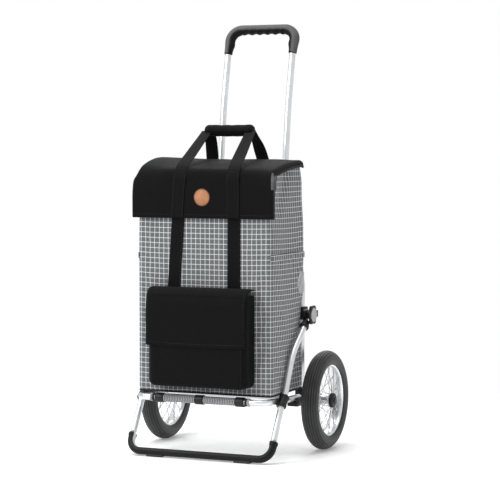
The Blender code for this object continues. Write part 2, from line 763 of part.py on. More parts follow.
def add_shelf_fittings(shelf):
    """Ribbed sleeves and the clips that hold the bag's front edge to the shelf bar."""
    for side, sign in SIDES:
        near, far = CLIP_WIDTH / 2 + GAP, CLIP_X - CLIP_WIDTH / 2 - GAP
        sleeve = bar_sleeve(sign * near, sign * far, SLEEVE_R)
        shelf.add(f"bar_sleeve_{side}", sleeve, lambda name: material(name, (0.3, 0.3, 0.31), 0.6))
    for name, middle in (("left", -CLIP_X), ("middle", 0.0), ("right", CLIP_X)):
        low, high = middle - CLIP_WIDTH / 2, middle + CLIP_WIDTH / 2
        clip = x_bar(low, high, SHELF_FRONT_Y, SHELF_FRONT_Z, 12.0)
        tongue = box((low + 0.2, SHELF_FRONT_Y, SHELF_FRONT_Z - 4.0),
                     (high - 0.2, BAG_FRONT - 0.8, SHELF_FRONT_Z + 5.0))
        join(clip, tongue)
        bore = x_bar(low - 5.0, high + 5.0, SHELF_FRONT_Y, SHELF_FRONT_Z, ARM_R + 0.4, 20)
        shelf.add(f"bag_clip_{name}", cut(clip, bore), black_plastic)


# ---------------------------------------------------------------- wheels

def tyre_profile(middle):
    """C-shaped casing, open towards the rim, as (x, radius) points."""
    half = TYRE_WIDTH / 2
    outer, inner = [], []
    bead = RIM_BED_R + 1.0
    centre_r = WHEEL_R - half
    for index in range(7):
        angle = math.radians(-40 + 260 * index / 6)
        for ring, radius in ((outer, half), (inner, half - TYRE_WALL)):
            x, r = radius * math.cos(angle), radius * math.sin(angle) + centre_r
            ring.append((middle + x, max(r, bead)))
    return outer + inner[::-1]


def add_wheel(wheel, side, sign):
    middle = sign * WHEEL_X
    axis = (0.0, 0.0, WHEEL_R)
    wheel.add(f"tyre_{side}", turned(tyre_profile(middle), axis, 36),
              lambda name: material(name, (0.05, 0.05, 0.052), 0.75))
    half = RIM_WIDTH / 2
    rim = [(middle - half, RIM_LIP_R - 9.0), (middle - half, RIM_INNER_R + 0.8),
           (middle, RIM_INNER_R - 1.0), (middle + half, RIM_INNER_R + 0.8),
           (middle + half, RIM_LIP_R - 9.0), (middle, RIM_BED_R - 1.5)]
    wheel.add(f"rim_{side}", turned(rim, axis, 36), aluminium)
    wheel.add(f"hub_{side}", spoked_hub(sign), lambda name: material(name, (0.7, 0.71, 0.73), 0.25, 1.0))
    cap = [(sign * (HUB_OUTER_X + GAP), BUTTON_R + 0.4), (sign * (HUB_OUTER_X + GAP), CAP_R),
           (sign * (CAP_X - 3.5), CAP_R), (sign * CAP_X, CAP_R - 4.0), (sign * CAP_X, BUTTON_R + 0.4)]
    wheel.add(f"hub_cap_{side}", turned(cap, axis, 24), black_plastic)


def spoked_hub(sign):
    """Flanged hub with crossed spokes running out to the rim."""
    flange = 3.0
    near, far = HUB_INNER_X, HUB_OUTER_X
    bore = AXLE_R + 0.35
    profile = [(near, bore), (near, HUB_FLANGE_R), (near + flange, HUB_FLANGE_R),
               (near + flange + 1.0, HUB_R), (far - flange - 1.0, HUB_R),
               (far - flange, HUB_FLANGE_R), (far, HUB_FLANGE_R), (far, bore)]
    hub = turned([(sign * x, r) for x, r in profile], (0.0, 0.0, WHEEL_R), 20)
    reach = RIM_INNER_R - 1.8
    for index in range(SPOKES):
        root_x = near + flange / 2 if index % 2 else far - flange / 2
        tip_x = WHEEL_X + (root_x - WHEEL_X) * 0.25
        turn = 2 * math.pi * index / SPOKES
        lean = math.radians(38) * (1 if index // 2 % 2 else -1)
        start = Vector((sign * root_x, 15.0 * math.cos(turn + lean), 15.0 * math.sin(turn + lean)))
        end = Vector((sign * tip_x, reach * math.cos(turn), reach * math.sin(turn)))
        up = Vector((0.0, 0.0, WHEEL_R))
        join(hub, bar(start + up, end + up, SPOKE_R, 5))
    return hub


def add_release_button(body, side, sign):
    profile = [(sign * 242.5, BUTTON_R), (sign * 250.5, BUTTON_R), (sign * 252.0, BUTTON_R - 2.0)]
    button = turned(profile, (0.0, 0.0, WHEEL_R), 20, closed=False)
    body.add(f"release_button_{side}", button, lambda name: material(name, (0.1, 0.1, 0.1), 0.4))


def add_lock_knob(body, side, sign):
    """Lobed clamping knob with its stud through the housing and the arm's eye."""
    knob = x_bar(sign * KNOB_INNER_X, sign * KNOB_RIM_X, FOLD_Y, FOLD_Z, KNOB_R, 20)
    for index in range(KNOB_LOBES):
        turn = 2 * math.pi * index / KNOB_LOBES
        y = FOLD_Y + KNOB_LOBE_PLACE * math.cos(turn)
        z = FOLD_Z + KNOB_LOBE_PLACE * math.sin(turn)
        join(knob, x_bar(sign * KNOB_INNER_X, sign * KNOB_RIM_X, y, z, KNOB_LOBE_R, 8))
    cap = x_bar(sign * (KNOB_RIM_X - 1.5), sign * KNOB_FACE_X, FOLD_Y, FOLD_Z, KNOB_FACE_R, 20)
    stud = x_bar(sign * (KNOB_INNER_X + 1.7), sign * 181.5, FOLD_Y, FOLD_Z, STUD_R)
    join(knob, cap, stud)
    body.add(f"lock_knob_{side}", knob, lambda name: material(name, (0.12, 0.12, 0.13), 0.45))


# ---------------------------------------------------------------- assembly

def build():
    clear_scene()
    root = Body("trolley", (0.0, 0.0, 0.0))
    root.empty.location = (0.0, AXLE_Y * MM, 0.0)
    for add in (add_handle, add_braces, add_bag_hanger, add_axle, add_knob_housings,
                add_bag_body, add_base_board, add_front_pocket, add_bag_straps, add_reflectors):
        add(root)
    lid = Body("lid_hinge", (0.0, LID_HINGE_Y, LID_HINGE_Z), root)
    for add in (add_lid, add_carry_straps, add_lid_trim):
        add(lid)
    add_pocket_flap(Body("pocket_flap_hinge", (0.0, FLAP_HINGE_Y, FLAP_HINGE_Z), root))
    front = Body("fold_axis", (0.0, FOLD_Y, FOLD_Z), root)
    for add in (add_front_frame, add_foot_bumper, add_arm_eyes, add_clamps):
        add(front)
    shelf = Body("shelf_pivot", (0.0, PIVOT_Y, PIVOT_Z), front)
    add_shelf(shelf)
    add_shelf_fittings(shelf)
    for side, sign in SIDES:
        wheel = Body(f"wheel_axis_{side}", (sign * WHEEL_X, 0.0, WHEEL_R), root)
        add_wheel(wheel, side, sign)
        button = Body(f"release_axis_{side}", (sign * CAP_X, 0.0, WHEEL_R), wheel)
        add_release_button(button, side, sign)
        knob = Body(f"lock_knob_axis_{side}", (sign * KNOB_RIM_X, FOLD_Y, FOLD_Z), root)
        add_lock_knob(knob, side, sign)


build()
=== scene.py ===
import math

import bmesh
import bpy
import numpy as np
from mathutils import Matrix, Vector


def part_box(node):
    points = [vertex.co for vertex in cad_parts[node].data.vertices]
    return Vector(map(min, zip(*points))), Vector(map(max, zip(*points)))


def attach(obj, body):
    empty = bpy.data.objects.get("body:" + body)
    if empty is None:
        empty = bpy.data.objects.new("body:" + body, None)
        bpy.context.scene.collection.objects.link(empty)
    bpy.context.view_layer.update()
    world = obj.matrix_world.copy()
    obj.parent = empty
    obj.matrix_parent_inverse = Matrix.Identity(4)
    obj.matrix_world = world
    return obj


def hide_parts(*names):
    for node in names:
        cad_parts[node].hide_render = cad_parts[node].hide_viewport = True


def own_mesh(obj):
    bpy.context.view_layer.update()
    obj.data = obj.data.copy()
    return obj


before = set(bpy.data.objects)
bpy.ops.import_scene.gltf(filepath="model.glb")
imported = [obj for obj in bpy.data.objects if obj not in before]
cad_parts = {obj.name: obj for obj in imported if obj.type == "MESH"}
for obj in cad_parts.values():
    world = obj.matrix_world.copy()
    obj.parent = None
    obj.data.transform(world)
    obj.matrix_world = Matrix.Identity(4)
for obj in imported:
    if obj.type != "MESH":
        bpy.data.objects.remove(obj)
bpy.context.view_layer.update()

# The pieces are laid out in millimetres with Y = 0 at the wheel axle and Z = 0 on the
# ground; place() turns that into the frame's metres.
MM = 0.001
SIDES = (("left", -1.0), ("right", 1.0))


def cad(node):
    """A node's lowest and highest corners in the layout's millimetres."""
    low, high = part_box(node)
    low = np.array([low[0], low[1] - AXLE_Y, low[2]]) / MM
    high = np.array([high[0], high[1] - AXLE_Y, high[2]]) / MM
    return low, high


AXLE_Y = (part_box("axle")[0][1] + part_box("axle")[1][1]) / 2


# ---------------------------------------------------------------- camera, light, floor

CAMERA_TURN = math.radians(23.875)
CAMERA_TILT = math.radians(3.168)
CAMERA_AT = (1970.1, -4415.8, 766.9)
CAMERA_LENS = 136.0


def add_camera():
    data = bpy.data.cameras.new("camera")
    data.lens = CAMERA_LENS
    data.sensor_width = 36.0
    data.clip_end = 100.0
    camera = bpy.data.objects.new("camera", data)
    bpy.context.collection.objects.link(camera)
    camera.location = (CAMERA_AT[0] * MM, CAMERA_AT[1] * MM + AXLE_Y, CAMERA_AT[2] * MM)
    camera.rotation_euler = (math.pi / 2 - CAMERA_TILT, 0.0, CAMERA_TURN)
    bpy.context.scene.camera = camera


def add_area(name, location, size, power):
    data = bpy.data.lights.new(name, "AREA")
    data.size = size
    data.energy = power
    light = bpy.data.objects.new(name, data)
    bpy.context.collection.objects.link(light)
    light.location = location
    aim = Vector((0.0, 0.0, 0.5)) - Vector(location)
    light.rotation_euler = aim.to_track_quat("-Z", "Y").to_euler()


ROOM_LIGHT = 0.42
ROOM_SHINE = 0.74
FLOOR_REACH = 40.0
FLOOR_NEAR = 0.45
FLOOR_FAR = 1.3


def add_studio():
    world = bpy.data.worlds.new("studio")
    world.use_nodes = True
    tree = world.node_tree
    tree.nodes["Background"].inputs["Color"].default_value = (1.0, 1.0, 1.0, 1.0)
    # White behind the object, a dim room around it and a brighter one in its reflections.
    room = tree.nodes.new("ShaderNodeBackground")
    room.inputs["Color"].default_value = (1.0, 1.0, 1.0, 1.0)
    path = tree.nodes.new("ShaderNodeLightPath")
    strength = tree.nodes.new("ShaderNodeMapRange")
    strength.inputs["To Min"].default_value = ROOM_LIGHT
    strength.inputs["To Max"].default_value = ROOM_SHINE
    tree.links.new(path.outputs["Is Glossy Ray"], strength.inputs["Value"])
    tree.links.new(strength.outputs["Result"], room.inputs["Strength"])
    mix = tree.nodes.new("ShaderNodeMixShader")
    tree.links.new(path.outputs["Is Camera Ray"], mix.inputs["Fac"])
    tree.links.new(room.outputs["Background"], mix.inputs[1])
    tree.links.new(tree.nodes["Background"].outputs["Background"], mix.inputs[2])
    tree.links.new(mix.outputs["Shader"], tree.nodes["World Output"].inputs["Surface"])
    bpy.context.scene.world = world
    bpy.context.scene.view_settings.view_transform = "Standard"
    add_area("top_light", (-0.5, -0.4, 3.6), 3.0, 100.0)
    add_area("key_light", (-2.0, -2.8, 2.4), 1.6, 62.0)
    add_area("back_light", (-0.8, 3.0, 2.4), 1.6, 40.0)
    mesh = bpy.data.meshes.new("floor")
    corners = [(x * FLOOR_REACH, y * FLOOR_REACH, 0) for x, y in ((-1, -1), (1, -1), (1, 1), (-1, 1))]
    mesh.from_pydata(corners, [], [(0, 1, 2, 3)])
    floor = bpy.data.objects.new("floor", mesh)
    floor.location.z = -0.0005
    bpy.context.collection.objects.link(floor)
    floor.data.materials.append(floor_material())


# ---------------------------------------------------------------- material helpers

class Surface:
    """A Principled material with a few shorthands for adding nodes."""

    def __init__(self, name, roughness, metallic=0.0):
        self.material = bpy.data.materials.new(name)
        self.material.use_nodes = True
        self.tree = self.material.node_tree
        self.shader = self.tree.nodes["Principled BSDF"]
        self.shader.inputs["Roughness"].default_value = roughness
        self.shader.inputs["Metallic"].default_value = metallic

    def node(self, kind, **settings):
        made = self.tree.nodes.new(kind)
        for key, value in settings.items():
            setattr(made, key, value)
        return made

    def link(self, source, target):
        self.tree.links.new(source, target)

    def coords(self, scale=(1.0, 1.0, 1.0)):
        """The piece's own position in metres, stretched by scale."""
        place = self.node("ShaderNodeTexCoord")
        mapping = self.node("ShaderNodeMapping")
        mapping.inputs["Scale"].default_value = scale
        self.link(place.outputs["Object"], mapping.inputs["Vector"])
        return mapping.outputs["Vector"]

    def cloth_coords(self):
        """Distance along and across the cloth, in metres, as cut flat."""
        return self.node("ShaderNodeUVMap", uv_map="cloth").outputs["UV"]

    def cloth_split(self):
        """The two cloth distances as separate outputs, X and Y."""
        split = self.node("ShaderNodeSeparateXYZ")
        self.link(self.cloth_coords(), split.inputs["Vector"])
        return split.outputs

    def noise(self, vector, scale, detail=3.0, roughness=0.5):
        made = self.node("ShaderNodeTexNoise")
        made.inputs["Scale"].default_value = scale
        made.inputs["Detail"].default_value = detail
        made.inputs["Roughness"].default_value = roughness
        self.link(vector, made.inputs["Vector"])
        return made.outputs["Fac"]

    def spread(self, value, low, high, to_low, to_high):
        """Map value from low..high to to_low..to_high."""
        made = self.node("ShaderNodeMapRange")
        for name, number in zip(("From Min", "From Max", "To Min", "To Max"), (low, high, to_low, to_high)):
            made.inputs[name].default_value = number
        self.link(value, made.inputs["Value"])
        return made.outputs["Result"]

    def math(self, operation, first, second=None):
        made = self.node("ShaderNodeMath", operation=operation)
        for socket, value in zip(made.inputs, (first, second)):
            if value is None:
                continue
            if isinstance(value, (int, float)):
                socket.default_value = value
            else:
                self.link(value, socket)
        return made.outputs["Value"]

    def mix(self, factor, first, second):
        made = self.node("ShaderNodeMix", data_type="RGBA")
        self.link(factor, made.inputs["Factor"])
        for socket, value in ((made.inputs[6], first), (made.inputs[7], second)):
            if isinstance(value, tuple):
                socket.default_value = (*value, 1.0)
            else:
                self.link(value, socket)
        return made.outputs[2]

    def color(self, source):
        if isinstance(source, tuple):
            self.shader.inputs["Base Color"].default_value = (*source, 1.0)
        else:
            self.link(source, self.shader.inputs["Base Color"])

    def roughness(self, source):
        self.link(source, self.shader.inputs["Roughness"])

    def bump(self, height, strength, distance):
        made = self.node("ShaderNodeBump")
        made.inputs["Strength"].default_value = strength
        made.inputs["Distance"].default_value = distance
        self.link(height, made.inputs["Height"])
        self.link(made.outputs["Normal"], self.shader.inputs["Normal"])


def floor_material():
    """White floor that brightens into the backdrop away from the object."""
    surface = Surface("floor", 1.0)
    place_on = surface.node("ShaderNodeTexCoord")
    away = surface.node("ShaderNodeVectorMath", operation="LENGTH")
    surface.link(place_on.outputs["Object"], away.inputs[0])
    glow = surface.spread(away.outputs["Value"], FLOOR_NEAR, FLOOR_FAR, 0.0, 1.0)
    surface.color(surface.mix(glow, (0.97, 0.97, 0.97), (0.0, 0.0, 0.0)))
    surface.shader.inputs["Specular IOR Level"].default_value = 0.0
    surface.shader.inputs["Emission Color"].default_value = (1.0, 1.0, 1.0, 1.0)
    surface.link(surface.math("ADD", surface.math("MULTIPLY", glow, 0.8), 0.2),
                 surface.shader.inputs["Emission Strength"])
    return surface.material


def metal_material(name, tone, roughness, brushed=(420.0, 420.0, 14.0)):
    """Metal with fine brushed lines and slight tone and roughness changes."""
    surface = Surface(name, roughness, 1.0)
    lines = surface.noise(surface.coords(brushed), 5.0, 4.0)
    patches = surface.noise(surface.coords(), 22.0, 3.0)
    dark = tuple(value * 0.86 for value in tone)
    surface.color(surface.mix(surface.spread(patches, 0.3, 0.7, 0.0, 1.0), dark, tone))
    surface.roughness(surface.spread(lines, 0.25, 0.75, roughness * 0.85, roughness * 1.2))
    surface.bump(lines, 0.04, 0.0001)
    return surface.material


def groove_mark(surface):
    """How deep in a groove a place is, 0 to 1, from the first value of the piece's map, for painted shade
    in the grooves; on the grip it marks the inner side.
    """
    return surface.cloth_split()["X"]


def moulded_material(name, tone, roughness, grain=2600.0, wear=1.6, shine=0.35, hollow=None):
    """Moulded plastic or rubber: fine grain, with a lighter, drier bloom in patches.

    hollow is the tone where the piece's map marks a place: painted shade in the grooves of ribbed pieces,
    and the grip's darker inner side."""
    surface = Surface(name, roughness)
    fine = surface.noise(surface.coords(), grain, 2.0)
    broad = surface.noise(surface.coords(), 38.0, 4.0)
    light = tuple(min(1.0, value * wear + 0.004) for value in tone)
    worn = surface.mix(surface.spread(broad, 0.35, 0.75, 0.0, 1.0), tone, light)
    # Where the map marks a place the colour goes to the hollow tone: painted shade in grooves, the grip's
    # darker inner side.
    surface.color(surface.mix(groove_mark(surface), worn, hollow) if hollow else worn)
    surface.shader.inputs["Specular IOR Level"].default_value = shine
    surface.roughness(surface.spread(broad, 0.3, 0.7, roughness * 0.85, min(1.0, roughness * 1.2)))
    surface.bump(fine, 0.25, 0.0002)
    return surface.material


def weave_height(surface, pitch):
    """Over-and-under height of a plain weave with threads pitch metres apart."""
    split = surface.cloth_split()
    waves = [surface.math("SINE", surface.math("MULTIPLY", split[axis], math.pi / pitch))
             for axis in ("X", "Y")]
    return surface.math("MULTIPLY", *waves), split


def black_cloth_material():
    surface = Surface("black_cloth", 0.78)
    height, _ = weave_height(surface, 0.0009)
    fuzz = surface.noise(surface.coords(), 900.0, 3.0)
    slubs = surface.noise(surface.coords((90.0, 90.0, 420.0)), 2.2, 3.0)
    surface.color(surface.mix(surface.spread(slubs, 0.3, 0.75, 0.0, 1.0),
                              (0.0025, 0.0025, 0.0027), (0.0065, 0.0065, 0.007)))
    surface.bump(surface.math("ADD", height, fuzz), 0.5, 0.00025)
    surface.shader.inputs["Sheen Weight"].default_value = 0.05
    surface.shader.inputs["Sheen Roughness"].default_value = 0.45
    surface.shader.inputs["Sheen Tint"].default_value = (0.75, 0.76, 0.8, 1.0)
    surface.shader.inputs["Specular IOR Level"].default_value = 0.09
    return surface.material


WEBBING_RIB = 0.0011
WEBBING_WEFT = 0.0016


def webbing_material():
    """Ribbed webbing: ribs run along the strap, crossed by fine weft lines."""
    surface = Surface("webbing", 0.7)
    split = surface.cloth_split()
    ribs = surface.math("SINE", surface.math("MULTIPLY", split["X"], math.pi / WEBBING_RIB))
    weft = surface.math("SINE", surface.math("MULTIPLY", split["Y"], math.pi / WEBBING_WEFT))
    fuzz = surface.noise(surface.coords(), 700.0, 3.0)
    raised = surface.math("MULTIPLY", ribs, 0.7)
    height = surface.math("ADD", raised, surface.math("MULTIPLY", weft, 0.35))
    surface.color(surface.mix(surface.spread(fuzz, 0.3, 0.7, 0.0, 1.0),
                              (0.0016, 0.0016, 0.0018), (0.0045, 0.0045, 0.005)))
    surface.bump(height, 0.6, 0.0004)
    surface.shader.inputs["Sheen Weight"].default_value = 0.05
    surface.shader.inputs["Specular IOR Level"].default_value = 0.09
    return surface.material


CHECK_PITCH = 0.0125
CHECK_LINE = 0.0016
CHECK_BLUR = 0.0004


def check_lines(surface, distance):
    """1 on a check line and 0 between lines, for a distance along the cloth."""
    away = surface.math("PINGPONG", distance, CHECK_PITCH / 2)
    return surface.spread(away, CHECK_LINE / 2 - CHECK_BLUR, CHECK_LINE / 2 + CHECK_BLUR, 1.0, 0.0)


def checked_cloth_material():
    """Grey melange polyester with a fine white check woven in."""
    surface = Surface("checked_cloth", 0.8)
    height, split = weave_height(surface, 0.0007)
    melange = surface.noise(surface.coords(), 520.0, 2.0)
    threads = surface.noise(surface.coords((60.0, 60.0, 900.0)), 1.4, 2.0)
    streaks = surface.noise(surface.coords((420.0, 420.0, 30.0)), 1.4, 2.0)
    blend = surface.math("MULTIPLY", surface.math("ADD", threads, streaks), 0.5)
    blend = surface.math("ADD", surface.math("MULTIPLY", blend, 0.6),
                         surface.math("MULTIPLY", melange, 0.4))
    grey = surface.mix(surface.spread(blend, 0.3, 0.7, 0.0, 1.0),
                       (0.092, 0.099, 0.103), (0.195, 0.206, 0.212))
    across = check_lines(surface, split["X"])
    along = check_lines(surface, split["Y"])
    one = surface.math("MAXIMUM", across, along)
    both = surface.math("MULTIPLY", across, along)
    lines = surface.mix(one, grey, (0.66, 0.68, 0.685))
    surface.color(surface.mix(both, lines, (0.90, 0.91, 0.91)))
    raised = surface.math("ADD", height, surface.math("MULTIPLY", one, 1.5))
    surface.bump(raised, 0.35, 0.0003)
    surface.shader.inputs["Sheen Weight"].default_value = 0.12
    surface.shader.inputs["Specular IOR Level"].default_value = 0.2
    return surface.material


def leather_material():
    surface = Surface("leather", 0.55)
    cells = surface.node("ShaderNodeTexVoronoi")
    cells.inputs["Scale"].default_value = 900.0
    surface.link(surface.coords(), cells.inputs["Vector"])
    tone = surface.noise(surface.coords(), 70.0, 4.0)
    surface.color(surface.mix(surface.spread(tone, 0.3, 0.7, 0.0, 1.0),
                              (0.40, 0.16, 0.065), (0.52, 0.23, 0.105)))
    surface.bump(cells.outputs["Distance"], 0.35, 0.0003)
    return surface.material


def reflective_material():
    """Light grey reflective film with a fine honeycomb under its face."""
    surface = Surface("reflective_film", 0.35)
    cells = surface.node("ShaderNodeTexVoronoi", feature="DISTANCE_TO_EDGE")
    cells.inputs["Scale"].default_value = 420.0
    surface.link(surface.coords(), cells.inputs["Vector"])
    edge = surface.spread(cells.outputs["Distance"], 0.02, 0.12, 0.0, 1.0)
    surface.color(surface.mix(edge, (0.31, 0.31, 0.325), (0.39, 0.385, 0.405)))
    surface.bump(edge, 0.15, 0.0002)
    surface.shader.inputs["Coat Weight"].default_value = 0.3
    return surface.material


def tyre_material():
    """Dark grey rubber with dustier patches, and painted shade in the grooves round the tread and
    shoulders.
    """
    surface = Surface("tyre", 0.5)
    grain = surface.noise(surface.coords(), 1500.0, 3.0)
    dust = surface.noise(surface.coords(), 26.0, 5.0, 0.65)
    worn = surface.mix(surface.spread(dust, 0.35, 0.7, 0.0, 1.0),
                       (0.020, 0.0203, 0.021), (0.050, 0.0505, 0.052))
    # Painted shade: where the map marks a groove the rubber goes near black.
    surface.color(surface.mix(groove_mark(surface), worn, (0.002, 0.002, 0.0022)))
    surface.shader.inputs["Specular IOR Level"].default_value = 0.4
    surface.roughness(surface.spread(dust, 0.3, 0.7, 0.38, 0.58))
    surface.bump(grain, 0.4, 0.0003)
    return surface.material


MATERIALS = {
    "tube": metal_material("tube", (0.86, 0.87, 0.88), 0.33),
    "rim": metal_material("rim", (0.92, 0.93, 0.94), 0.27, (60.0, 500.0, 500.0)),
    "steel": metal_material("steel", (0.66, 0.67, 0.69), 0.26, (500.0, 60.0, 60.0)),
    "tyre": tyre_material(),
    "grip": moulded_material("grip", (0.075, 0.075, 0.077), 0.6, 1400.0, 1.5, 0.2, (0.001, 0.001, 0.0012)),
    "plastic": moulded_material("plastic", (0.004, 0.004, 0.0045), 0.42),
    "bumper": moulded_material("bumper", (0.0025, 0.0025, 0.003), 0.45, 1800.0, 1.6, 0.22),
    "pad": moulded_material("pad", (0.03, 0.03, 0.03), 0.8),
    "grey": moulded_material("grey", (0.30, 0.30, 0.31), 0.5, 1800.0, 1.2),
    # ribbed: the last tone is painted shade in the hollows between the sleeve's rings
    "ribbed": moulded_material("ribbed", (0.42, 0.42, 0.43), 0.5, 1800.0, 1.1, 0.35, (0.045, 0.045, 0.047)),
    "knob_face": moulded_material("knob_face", (0.43, 0.435, 0.445), 0.4, 1800.0, 1.12),
    "check": checked_cloth_material(),
    "black_cloth": black_cloth_material(),
    "webbing": webbing_material(),
    "piping": moulded_material("piping", (0.005, 0.005, 0.0055), 0.7, 1500.0),
    "leather": leather_material(),
    "leather_edge": moulded_material("leather_edge", (0.05, 0.018, 0.009), 0.6, 900.0),
    "film": reflective_material(),
    "label": moulded_material("label", (0.07, 0.07, 0.073), 0.85, 1200.0, 1.9),
    "thread": moulded_material("thread", (0.03, 0.03, 0.032), 0.8, 900.0),
    "board": moulded_material("board", (0.02, 0.02, 0.02), 0.6),
}


# ---------------------------------------------------------------- mesh helpers

def smoothstep(value, low, high):
    share = np.clip((value - low) / (high - low), 0.0, 1.0)
    return share * share * (3 - 2 * share)


def place(points):
    """Layout millimetres to frame metres."""
    placed = np.array(points, dtype=float) * MM
    placed[..., 1] += AXLE_Y
    return placed


def new_piece(name, verts, faces, cloth=None):
    """An object from layout points; cloth gives each vertex its place on the flat cloth."""
    mesh = bpy.data.meshes.new(name)
    mesh.from_pydata(place(verts).tolist(), [], [list(face) for face in faces])
    if cloth is not None:
        layer = mesh.uv_layers.new(name="cloth")
        for loop in mesh.loops:
            layer.data[loop.index].uv = cloth[loop.vertex_index]
    mesh.update()
    made = bpy.data.objects.new(name, mesh)
    bpy.context.collection.objects.link(made)
    return made


def outward(obj):
    bm = bmesh.new()
    bm.from_mesh(obj.data)
    bmesh.ops.recalc_face_normals(bm, faces=bm.faces)
    bm.to_mesh(obj.data)
    bm.free()
    return obj


def finish_piece(obj, body, material, replaces=(), smooth=40.0):
    """Give a finished piece its look, its body and the CAD nodes it stands for."""
    obj.data.materials.clear()
    obj.data.materials.append(MATERIALS[material])
    obj.data.shade_smooth()
    obj.data.set_sharp_from_angle(angle=math.radians(smooth))
    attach(obj, body)
    if replaces:
        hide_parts(*replaces)
    return obj


def grid_faces(rows, columns, wrap_rows=False, wrap_columns=False):
    faces = []
    for row in range(rows if wrap_rows else rows - 1):
        for column in range(columns if wrap_columns else columns - 1):
            below, above = row * columns, (row + 1) % rows * columns
            after = (column + 1) % columns
            faces.append((below + column, below + after, above + after, above + column))
    return faces


def grid_piece(name, grid, wrap_rows=False, wrap_columns=False, caps=False, cloth=None):
    """A mesh over a grid of points shaped (rows, columns, 3)."""
    grid = np.asarray(grid, dtype=float)
    rows, columns = grid.shape[:2]
    faces = grid_faces(rows, columns, wrap_rows, wrap_columns)
    if caps:
        faces.append(tuple(range(columns)))
        faces.append(tuple((rows - 1) * columns + column for column in range(columns)))
    flat = None if cloth is None else np.asarray(cloth, dtype=float).reshape(-1, 2)
    return new_piece(name, grid.reshape(-1, 3), faces, flat)


def rounded_path(corners, radii, step=4.0):
    """Corners joined by straight runs, each inner corner turned by an arc, in even steps."""
    points = [Vector(corners[0])]
    for before, corner, after, radius in zip(corners, corners[1:], corners[2:], radii):
        before, corner, after = Vector(before), Vector(corner), Vector(after)
        arriving = (corner - before).normalized()
        leaving = (after - corner).normalized()
        turn = arriving.angle(leaving)
        reach = radius * math.tan(turn / 2)
        centre = corner + (leaving - arriving).normalized() * (radius / math.cos(turn / 2))
        first = corner - arriving * reach - centre
        axis = arriving.cross(leaving).normalized()
        steps = max(4, int(radius * turn / step))
        for index in range(steps + 1):
            points.append(centre + Matrix.Rotation(turn * index / steps, 3, axis) @ first)
    points.append(Vector(corners[-1]))
    return resample(np.array(points), step)


def run_along(points):
    """Distance along a line at each of its points."""
    return np.concatenate([[0.0], np.cumsum(np.linalg.norm(np.diff(points, axis=0), axis=1))])


def resample(points, step):
    """The same line with points about step apart."""
    points = np.asarray(points, dtype=float)
    lengths = run_along(points)
    count = max(3, int(round(lengths[-1] / step)) + 1)
    places = np.linspace(0.0, lengths[-1], count)
    return np.stack([np.interp(places, lengths, points[:, axis]) for axis in range(3)], axis=1)


def smooth_line(points, step=4.0):
    """A smooth curve through points (Catmull-Rom), in even steps."""
    points = np.asarray(points, dtype=float)
    padded = np.vstack([2 * points[0] - points[1], points, 2 * points[-1] - points[-2]])
    curve = []
    for index in range(len(points) - 1):
        a, b, c, d = padded[index:index + 4]
        for share in np.linspace(0.0, 1.0, 12, endpoint=False):
            curve.append(0.5 * (2 * b + (c - a) * share + (2 * a - 5 * b + 4 * c - d) * share ** 2
                                + (3 * b - a - 3 * c + d) * share ** 3))
    curve.append(points[-1])
    return resample(np.array(curve), step)


def tangents_of(path):
    ahead = np.vstack([path[1:], path[-1:]])
    behind = np.vstack([path[:1], path[:-1]])
    steps = ahead - behind
    return steps / np.linalg.norm(steps, axis=1)[:, None]


def frames_of(path, start_side=None):
    """Side and up directions along a path, carried without twist."""
    tangents = [Vector(tangent) for tangent in tangents_of(path)]
    side = Vector(start_side) if start_side is not None else tangents[0].orthogonal()
    sides, ups = [], []
    for index, tangent in enumerate(tangents):
        if index:
            side = tangents[index - 1].rotation_difference(tangent) @ side
        side = (side - tangent * side.dot(tangent)).normalized()
        sides.append(side)
        ups.append(tangent.cross(side))
    return np.array(sides), np.array(ups)


def sweep_grid(path, section, start_side=None):
    """Grid of a section swept along a path; section(index) gives (side, up) offsets."""
    sides, ups = frames_of(path, start_side)
    rings = []
    for index, point in enumerate(path):
        offsets = np.asarray(section(index))
        rings.append(point + offsets[:, :1] * sides[index] + offsets[:, 1:] * ups[index])
    return np.array(rings)


def circle(radius, count=24):
    turns = np.linspace(0.0, 2 * math.pi, count, endpoint=False)
    return np.stack([np.cos(turns), np.sin(turns)], axis=1) * radius


def rod_piece(name, path, radius, count=24):
    """A round bar along a path, with softly rounded ends."""
    path = np.asarray(path, dtype=float)
    grid = sweep_grid(path, lambda index: circle(radius, count))
    bevel = min(0.8, radius * 0.2)
    ends = []
    for end, inner in ((0, 1), (-1, -2)):
        outwards = path[end] - path[inner]
        outwards /= np.linalg.norm(outwards)
        ends.append(path[end] + (grid[end] - path[end]) * (1 - bevel / radius))
        grid[end] = grid[end] - outwards * bevel
    grid = np.concatenate([ends[0][None], grid, ends[1][None]])
    return grid_piece(name, grid, wrap_columns=True, caps=True)


def lathe_piece(name, profile, centre, count=96, closed=True, marks=None):
    """(x, radius) points turned about an X axis through centre (y, z).

    marks gives each point's groove depth, 0 to 1, for the piece's map, where the material paints shade into
    the grooves."""
    profile = np.asarray(profile, dtype=float)
    turns = np.linspace(0.0, 2 * math.pi, count, endpoint=False)
    grid = np.empty((len(profile), count, 3))
    grid[..., 0] = profile[:, :1]
    grid[..., 1] = centre[0] + profile[:, 1:] * np.cos(turns)
    grid[..., 2] = centre[1] + profile[:, 1:] * np.sin(turns)
    flat = None
    if marks is not None:
        flat = np.zeros((len(profile), count, 2))
        flat[..., 0] = np.asarray(marks)[:, None]
    return outward(grid_piece(name, grid, wrap_rows=closed, wrap_columns=True, caps=not closed, cloth=flat))


